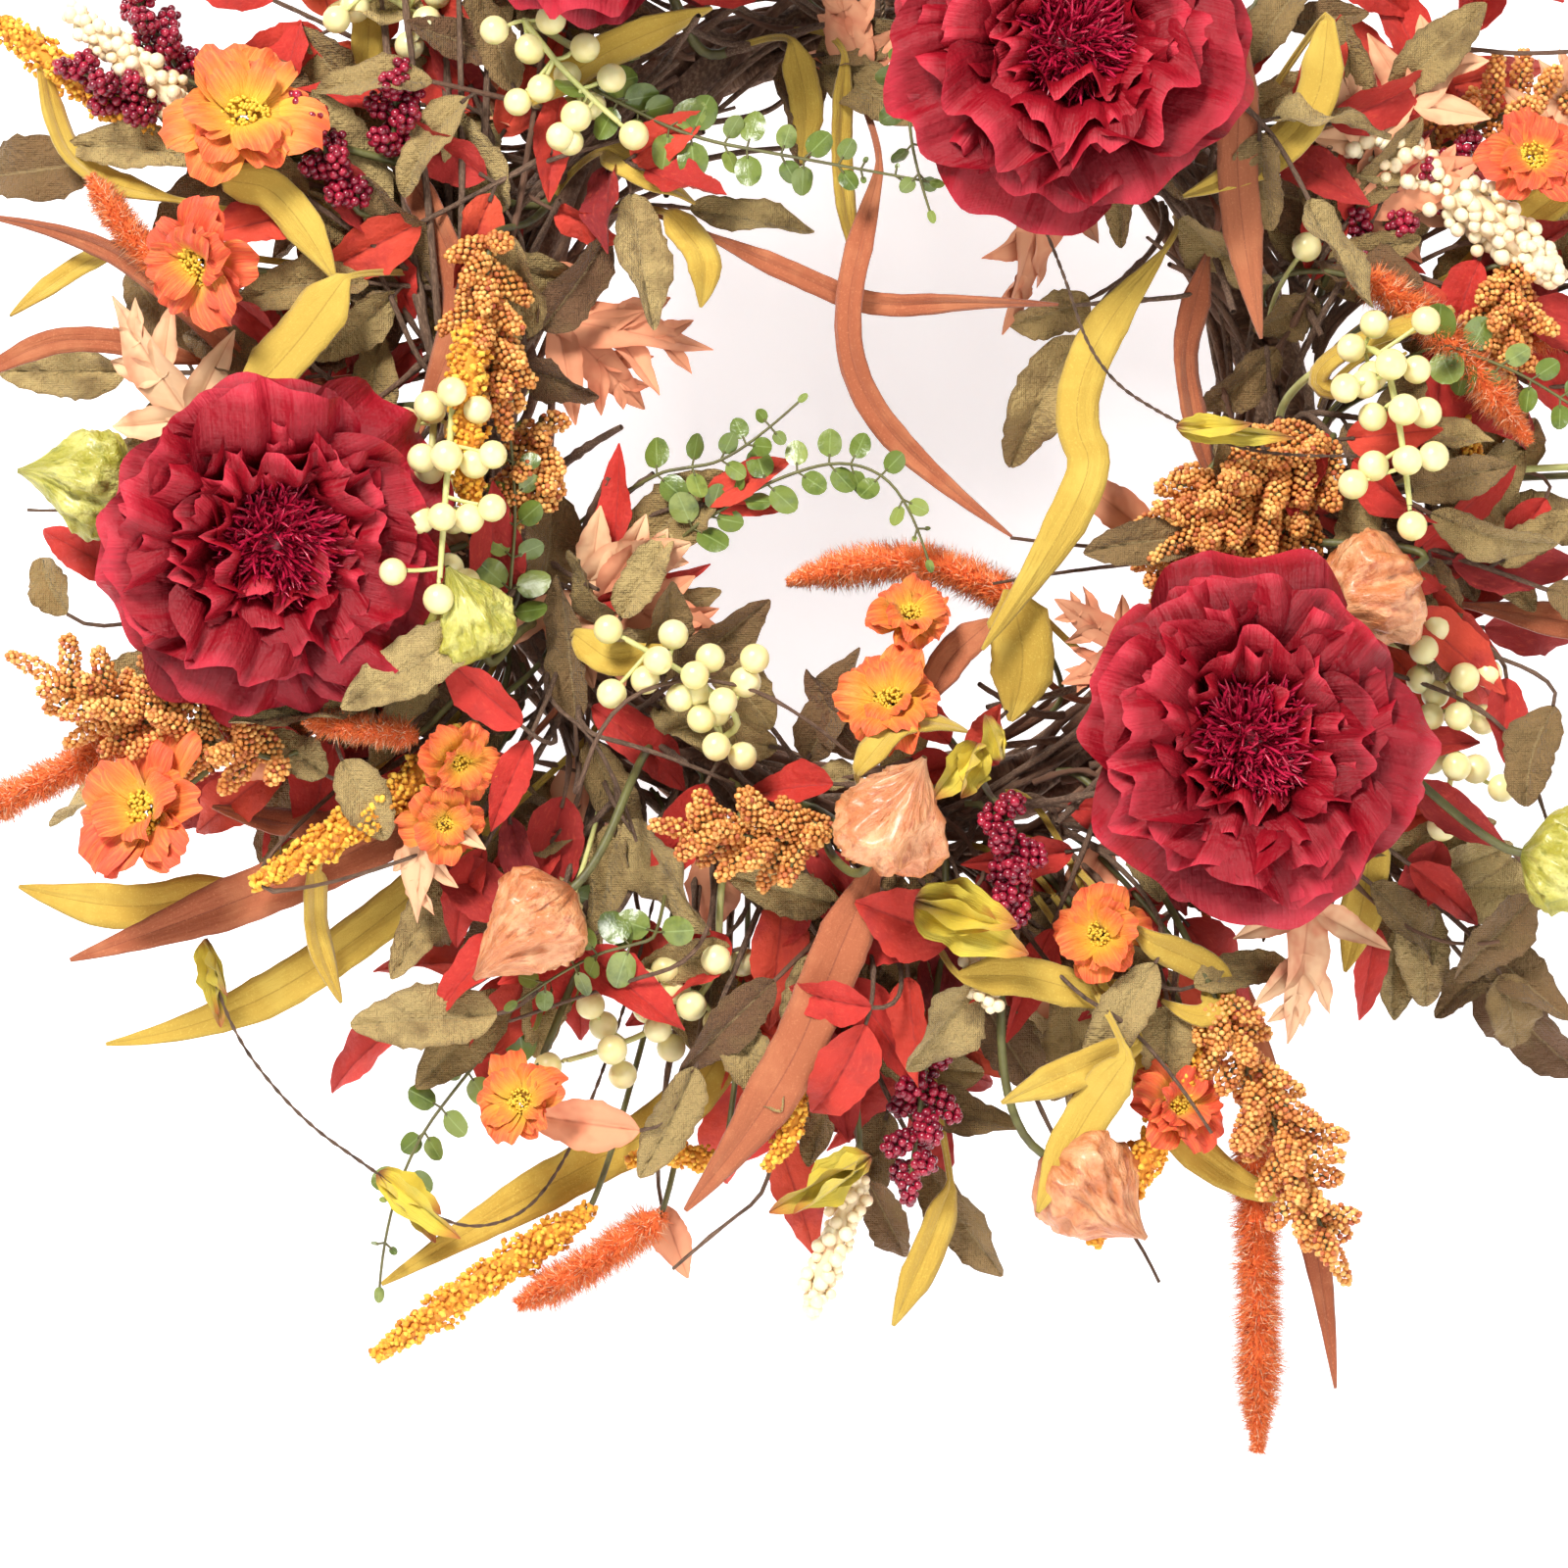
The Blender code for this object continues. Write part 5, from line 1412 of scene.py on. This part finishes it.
HEAD_ROWS = {  # by kind: depth, size, then (right, up) of the head's points
    "sorghum": (
        (86, 1.0, (-137, 52), (-138, 25), (-133, 3)), (66, 0.8, (-120, -5), (-122, -18), (-126, -32)),
        (92, 1.0, (-20, -147), (-40, -150), (-66, -146)), (60, 1.0, (217, 48), (216, 30), (214, 15)),
        (60, 1.0, (20, 165), (32, 200), (38, 235)), (50, 1.0, (-160, 170), (-185, 205), (-200, 235)),
        (50, 1.0, (190, 90), (225, 110), (262, 118)), (88, 1.3, (-216, -120), (-248, -112), (-284, -94)),
        (74, 1.3, (152, -12), (132, -26), (108, -42)), (70, 0.9, (150, -30), (138, -44), (122, -52)),
    ),
    "burgundy": (
        (78, 1.0, (-185, 72), (-193, 88), (-200, 100)), (70, 0.8, (-170, 90), (-171, 103), (-169, 112)),
        (60, 1.0, (-255, 105), (-266, 114), (-280, 118)),
        (54, 1.0, (-247, 120), (-255, 132), (-262, 145)), (60, 1.0, (75, 185), (85, 205), (90, 225)),
        (60, 1.0, (165, 60), (185, 75), (200, 90)),
    ),
    "amaranth": (
        (60, 1.0, (-110, -284), (-140, -303), (-178, -330)),
        (70, 1.0, (113, -217), (98, -250), (72, -290)), (54, 1.0, (-262, 102), (-285, 118), (-315, 140)),
        (60, 0.7, (-60, -262), (-75, -258), (-90, -262)), (56, 0.8, (188, 15), (200, 0), (208, -18)),
        (74, 0.6, (-30, -238), (-32, -253), (-42, -263)), (45, 1.0, (-20, 200), (-28, 250), (-25, 300)),
        (45, 1.0, (150, 170), (185, 205), (215, 225)),
    ),
    "foxtail": (
        (58, 1.0, (-83, -285), (-105, -300), (-128, -312)),
        (52, 1.15, (130, -262), (132, -315), (131, -364)),
        (64, 1.0, (-262, -112), (-290, -128), (-325, -145)),
        (60, 0.9, (-250, 48), (-266, 64), (-277, 82)),
        (92, 0.8, (-165, -113), (-180, -111), (-200, -108)), (45, 1.0, (60, 190), (85, 240), (95, 290)),
        (45, 1.0, (-130, 190), (-165, 235), (-185, 280)), (45, 1.0, (240, 30), (290, 45), (335, 40)),
    ),
    "cream_beads": (
        (60, 0.9, (-245, 106), (-262, 122), (-285, 140)),
        (70, 0.8, (-10, -272), (-18, -290), (-26, -314)), (82, 0.6, (30, -190), (33, -200), (38, -208)),
        (50, 1.0, (10, 180), (0, 225), (-15, 270)),
    ),
    "berries": (
        (84, 1.0, (-122, 130), (-108, 112), (-92, 98)), (60, 1.0, (60, 165), (75, 195), (80, 220)),
        (60, 1.0, (-165, 140), (-195, 160), (-215, 185)), (60, 1.0, (250, -20), (280, -25), (305, -30)),
        (108, 1.0, (-148, -2), (-150, -28), (-152, -60)),
    ),
    "coins": (
        (84, 11, (-95, 107), (-68, 93), (-38, 87), (15, 77)), (90, 10, (12, 117), (6, 95), (15, 67)),
        (64, 9, (-72, -20), (-52, -17), (-30, 3)),
        (62, 10, (-60, -36), (-38, -23), (-12, -16), (8, -28), (15, -52)),
        (78, 10, (-130, -63), (-127, -30), (-131, 3)), (80, 11, (200, 20), (225, 10), (245, -5)),
        (84, 11, (-85, -185), (-105, -190), (-127, -205)), (50, 11, (-40, 170), (-60, 220), (-90, 255)),
        (50, 11, (110, 160), (150, 200), (170, 245)),
    ),
}
FLOWER_ROWS = (  # right, up, depth, radius, tone
    (-235, 50, 92, 22, 0.95), (8, -73, 78, 15, 0.4), (3, -103, 88, 19, 0.15), (-125, -240, 84, 16, 0.25),
    (75, -183, 82, 17, 0.3), (100, -243, 76, 17, 0.95), (-148, -122, 92, 15, 0.4),
    (-152, -143, 88, 14, 0.4), (225, 87, 70, 18, 0.9), (15, 210, 60, 22, 0.3), (270, -20, 60, 21, 0.7),
    (-70, 240, 50, 20, 0.9),
)
BUD_ROWS = (  # right, up of the foot and of the tip, width, depth
    (44, 84, 60, 62, 8, 92), (100, -7, 140, -15, 8, 92), (-237, -184, -228, -214, 9, 62),
    (-177, -266, -147, -288, 11, 62), (10, -170, 48, -190, 18, 96), (-5, -259, -39, -281, 14, 80),
    (40, -122, 36, -104, 8, 84), (32, -116, 24, -140, 12, 86),
)


TWIG_ROWS = (  # radius in tenths of a millimetre, depth, then (right, up) of its points
    (21, 62, (-156, 5), (-166, 60), (-176, 145)), (17, 68, (-154, 8), (-158, 70), (-168, 150)),
    (20, 58, (-152, 0), (-152, 70), (-154, 150)), (16, 72, (-150, 12), (-146, 70), (-148, 145)),
    (19, 60, (-148, 4), (-140, 60), (-138, 140)), (12, 66, (-158, 6), (-176, 50), (-200, 96)),
    (12, 60, (-160, 20), (-180, 60), (-192, 76)), (16, 64, (-145, 20), (-126, 66), (-118, 140)),
    (18, 62, (-140, 60), (-100, 100), (-72, 122)), (11, 70, (-128, 84), (-84, 96), (-52, 106)),
    (10, 96, (-108, -140), (-96, -103), (-68, -92), (-35, -100), (-12, -120)),
    (11, 88, (-108, -112), (-80, -118), (-52, -130)), (10, 84, (-120, -100), (-96, -116), (-86, -150)),
    (10, 66, (100, -47), (72, -48), (44, -44)), (9, 62, (96, -52), (60, -56), (38, -60)),
    (12, 76, (110, 40), (88, 38), (66, 36)), (10, 58, (-36, -270), (-56, -284), (-74, -300)),
    (10, 84, (-232, -168), (-190, -166), (-150, -150)), (9, 60, (-250, -20), (-280, -36), (-300, -34)),
    (10, 90, (60, -200), (90, -215), (112, -250)), (10, 60, (150, -150), (190, -190), (215, -185)),
    (11, 64, (190, 130), (230, 122), (280, 132)), (10, 60, (60, -262), (86, -282), (96, -304)),
    (10, 84, (-60, -190), (-96, -200), (-130, -212)), (10, 70, (208, -100), (228, -128), (236, -160)),
)


def twig(heap, corners, radius, rng, count=22):
    """A bare twig with a knot or two."""
    points = curve(corners, count)
    size = np.linspace(radius, radius * 0.6, count)
    for place in rng.integers(2, count - 1, 2):
        size[place] *= 1.35
    heap.tube(points, size, 6, rng.random(), 0.10, rng)


def loose_leaves(twigs, name, slot, style, rows, seed, material=None):
    rng = np.random.default_rng(seed)
    heap = Heap()
    for x0, z0, x1, z1, width, depth, tone in rows:
        foot, tip = at(x0, z0, depth - 5), at(x1, z1, depth + rng.uniform(-8, 9))
        way = unit(tip - foot)
        length = np.linalg.norm(tip - foot) * 1.06
        leaf(heap, foot, way, jitter(rng, amount=0.35), length, width * MM, style, rng, tone)
        twig(twigs, tied_path(foot - way * 0.016, foot), 0.0012, rng)
    heap.make(name, slot, material=material)


def loose_straps(seed):
    rng = np.random.default_rng(seed)
    heaps = {}
    rows = [(slot, *row) for slot, group in STRAP_ROWS.items() for row in group]
    for slot, width, depth, tone, *points in rows:
        spots = [at(x, z, depth + rng.uniform(-9, 9)) for x, z in points]
        heap = heaps.setdefault((slot, points[0][0] > 0), Heap())
        corners, stalk = rooted(spots, 0.3)
        strap(heap, corners, width * MM, rng, tone, stalk, rng.uniform(-0.9, 0.9))
    for (slot, right), heap in heaps.items():
        heap.make(f"{slot}s_{'right' if right else 'left'}", slot)


def loose_heads():
    stems, pale, berries, coins = Heap(), Heap(), Heap(), Heap()
    rows = [(kind, k, *row) for kind, group in HEAD_ROWS.items() for k, row in enumerate(group, 1)]
    for kind, number, depth, size, *points in rows:
        rng = np.random.default_rng(700 + 37 * number + len(kind))
        spots = [at(x, z, depth + 3 * k) for k, (x, z) in enumerate(points)]
        corners, start = rooted(spots, 0.35)
        name = f"extra_{kind}_{number}"
        heap = Heap()
        if kind == "sorghum":
            lobed_head(heap, stems, corners, start, int(22 * size), (0.019 * size, 0.0037), 0.0011, rng)
            heap.make(name, "sorghum_bead")
        elif kind == "burgundy":
            lobed_head(heap, stems, corners, start, int(9 * size), (0.012, 0.0038), 0.0017, rng, BEAD)
            heap.make(name, "burgundy_bead")
        elif kind == "amaranth":
            granule_spike(heap, stems, corners, 0.0066 * size, 0.00115, rng, start)
            heap.make(name, "gold_floss")
        elif kind == "foxtail":
            foxtail(heap, stems, corners, 0.0076 * size, rng, start)
            heap.make(name, "orange_fuzz")
        elif kind == "cream_beads":
            granule_spike(heap, stems, corners, 0.0072 * size, 0.0024, rng, start, BEAD, 0.9, 0.0)
            heap.make(name, "cream_bead")
        elif kind == "berries":
            shares = [start + (1 - start) * f for f in (0.05, 0.35, 0.65)]
            berry_spray(berries, pale, corners, shares, rng)
        else:
            coin_sprig(coins, stems, corners, size * 1.2 * MM, rng, gap=0.010, bare=start)
    for x, z, depth in ((-112, -181, 104), (147, 57, 70)):
        rng = np.random.default_rng(abs(x))
        foot = at(x, z, depth - 8)
        pale.tube(curve(tied_path(foot), 16), 0.0009, 6)
        berry(berries, pale, foot, FRONT, 0.002, BERRY_RADIUS, rng)
    berries.make("extra_berries", "cream_berry")
    coins.make("extra_eucalyptus", "eucalyptus_leaf")
    for k, (x, z, depth, radius, tone) in enumerate(FLOWER_ROWS):
        rng = np.random.default_rng(900 + k)
        middle = at(x, z, depth)
        stems.tube(curve(tied_path(middle - FRONT * 0.02, middle), 18), 0.0013, 6)
        axis = FRONT + np.array((rng.uniform(-0.5, 0.5), 0, rng.uniform(-0.3, 0.6)))
        small_flower(f"extra_flower_{k + 1}", middle, axis, radius * MM, tone, 920 + k)
    stems.make("extra_head_stems", "green_stem")
    pale.make("extra_berry_stems", "green_stem", material="pale_stem")


def buds():
    """Yellow buds, some of them on stiff twisted wires that arch out of the wreath."""
    rng = np.random.default_rng(31)
    heap = Heap()
    for x0, z0, x1, z1, width, depth in BUD_ROWS:
        foot, tip = at(x0, z0, depth), at(x1, z1, depth + 6)
        way = unit(tip - foot)
        length = np.linalg.norm(tip - foot)
        for k in range(3):
            lean = way + rng.normal(0, 0.14, 3)
            style = {**BUD, "bend": rng.uniform(-0.4, 0.4)}
            reach = length * (1, 0.85, 0.7)[k]
            face = jitter(rng, amount=0.9)
            leaf(heap, foot, lean, face, reach, width * MM, style, rng, rng.random())
    heap.make("yellow_buds", "mustard_strap", material="bud_leaf")
    wires = Heap()
    for depth, points in (
        (92, [(44, 84), (60, 50), (72, 12), (100, -6), (130, -18), (162, -17)]),
        (62, [(-237, -184), (-233, -210), (-206, -246), (-177, -266), (-145, -290), (-110, -270)]),
    ):
        spots = [at(x, z, depth) for x, z in points]
        if points[0][0] > 0:
            spots = tied_path(spots[0])[:2] + spots
        else:
            spots = spots + tied_path(spots[-1])[1::-1]
        path = curve(spots, 120)
        _, side, normal = frames(path)
        turn = np.linspace(0, 60 * math.pi, 120)[:, None]
        for phase in (0, math.pi):
            away = side * np.cos(turn + phase) + normal * np.sin(turn + phase)
            wires.tube(path + away * 0.00035, 0.0004, 5, 0.1)
    wires.make("bud_wires", "grapevine")


def filler(twigs):
    """Short sprigs all round the vine, and longer ones where the wreath is full."""
    rng = np.random.default_rng(77)
    for radius, depth, *points in TWIG_ROWS:
        spots = [at(x, z, depth + rng.uniform(-5, 5)) for x, z in points]
        twig(twigs, tied_path(*spots), radius * 1e-4, rng, 30)
    sprigs = {}
    for kind, style, count, tones in (
        ("felt_leaf", FELT, 46, (0.0, 0.9)),
        ("red_leaf", RED, 30, (0.0, 0.9)),
        ("peach_leaf", OAK, 4, (0.2, 1)),
    ):
        for k in range(count):
            clock = 360 * (k + rng.random()) / count + (5 if kind == "red_leaf" else 0)
            inward = rng.random() < (0.08 if kind == "red_leaf" else 0.24)
            lean = rng.uniform(-65, 65)
            base = on_vine(clock, 100 if inward else 70, TIE_ORBIT)
            reach = rng.uniform(0.018, 0.032) if inward else rng.uniform(0.025, 0.10)
            out = outward(clock + lean) * (-1 if inward else 1)
            rise = FRONT * rng.uniform(0.012, 0.040)
            tip = base + out * reach + rise
            corners = [on_vine(clock - 4, 80, TIE_ORBIT), base, base + out * reach * 0.4 + rise * 0.8, tip]
            heap = sprigs.setdefault((kind, clock % 360 > 180), Heap())
            long = rng.uniform(0.030, 0.046)
            wide = long * rng.uniform(0.38, 0.5)
            sprig(heap, twigs, corners, (0.6, 0.8), long, wide, style, rng, tones, single=True)
    for k in range(132):
        clock = rng.uniform(195, 345) if k % 2 else rng.uniform(-20, 200)
        kind, style = (("felt_leaf", FELT), ("red_leaf", RED), ("felt_leaf", FELT), ("peach_leaf", RED),
                       ("red_leaf", RED), ("felt_leaf", FELT))[k // 2 % 6]
        foot = spot(clock, rng.uniform(12, 62), rng.uniform(38, 66))
        way = outward(clock + rng.uniform(-75, 75)) + FRONT * rng.uniform(-0.2, 0.4)
        long = rng.uniform(0.036, 0.052)
        heap = sprigs.setdefault((kind, clock % 360 > 180), Heap())
        face = jitter(rng)
        wide = long * rng.uniform(0.36, 0.48)
        leaf(heap, foot, way, face, long, wide, style, rng, rng.uniform(0.0, 0.8))
        twig(twigs, tied_path(foot - unit(way) * 0.01, foot + unit(way) * 0.004), 0.0012, rng, 12)
    for k in range(26):
        clock = 200 + 360 * (k + rng.random()) / 26
        top = 30 < clock % 360 < 150
        reach = rng.uniform(0.09, 0.17) if top else rng.uniform(0.06, 0.12)
        lean = rng.uniform(-28, 28)
        base = on_vine(clock, 30, TIE_ORBIT)
        mid = base + outward(clock + lean * 0.4) * reach * 0.5 + FRONT * 0.01
        tip = base + outward(clock + lean) * reach + FRONT * rng.uniform(-0.005, 0.02)
        if abs(tip[0]) < 0.025 and tip[2] > CENTRE[2]:
            continue
        kind, style = (("felt_leaf", FELT), ("red_leaf", RED))[k % 2]
        heap = sprigs.setdefault((kind, clock % 360 > 180), Heap())
        corners = [on_vine(clock - 4, 30, TIE_ORBIT), base, mid, tip]
        sprig(heap, twigs, corners, (0.45, 0.62, 0.8), 0.044, 0.019, style, rng, (0.1, 1))
    for (kind, low), heap in sprigs.items():
        slot = "rust_strap" if kind == "peach_leaf" else kind
        heap.make(f"{kind}_filler_{'low' if low else 'high'}", slot, material=kind)
    for k in range(90):
        clock = 360 * (k + rng.random()) / 90
        if 78 < clock < 102:
            continue
        sweep = rng.uniform(8, 30) * rng.choice((-1, 1))
        lift = rng.uniform(0.004, 0.055)
        orbit = TIE_ORBIT + rng.uniform(0, 0.004)
        side = rng.uniform(20, 150)
        corners = [on_vine(clock, side, orbit), on_vine(clock + sweep * 0.4, side, orbit + 0.004),
                   on_vine(clock + sweep, side, orbit + lift)]
        twig(twigs, corners, rng.uniform(0.0010, 0.0020), rng, 16)


def repeats():
    twigs = Heap()
    loose_leaves(twigs, "felt_leaves_loose", "felt_leaf", FELT, FELT_ROWS, 21)
    loose_leaves(twigs, "red_leaves_loose", "red_leaf", RED, RED_ROWS, 22)
    loose_leaves(twigs, "oak_leaves", "rust_strap", OAK, OAK_ROWS, 23, "peach_leaf")
    loose_leaves(twigs, "peach_leaves", "rust_strap", RED, LANCE_ROWS, 24, "peach_leaf")
    loose_straps(25)
    loose_heads()
    buds()
    filler(twigs)
    twigs.make("twigs", "grapevine")


place_camera()
room()
lights()
MATERIALS = make_materials()
grapevine_ring()
hanger()
cad_peonies()
cad_pods()
cad_heads()
cad_straps()
cad_leaves()
repeats()
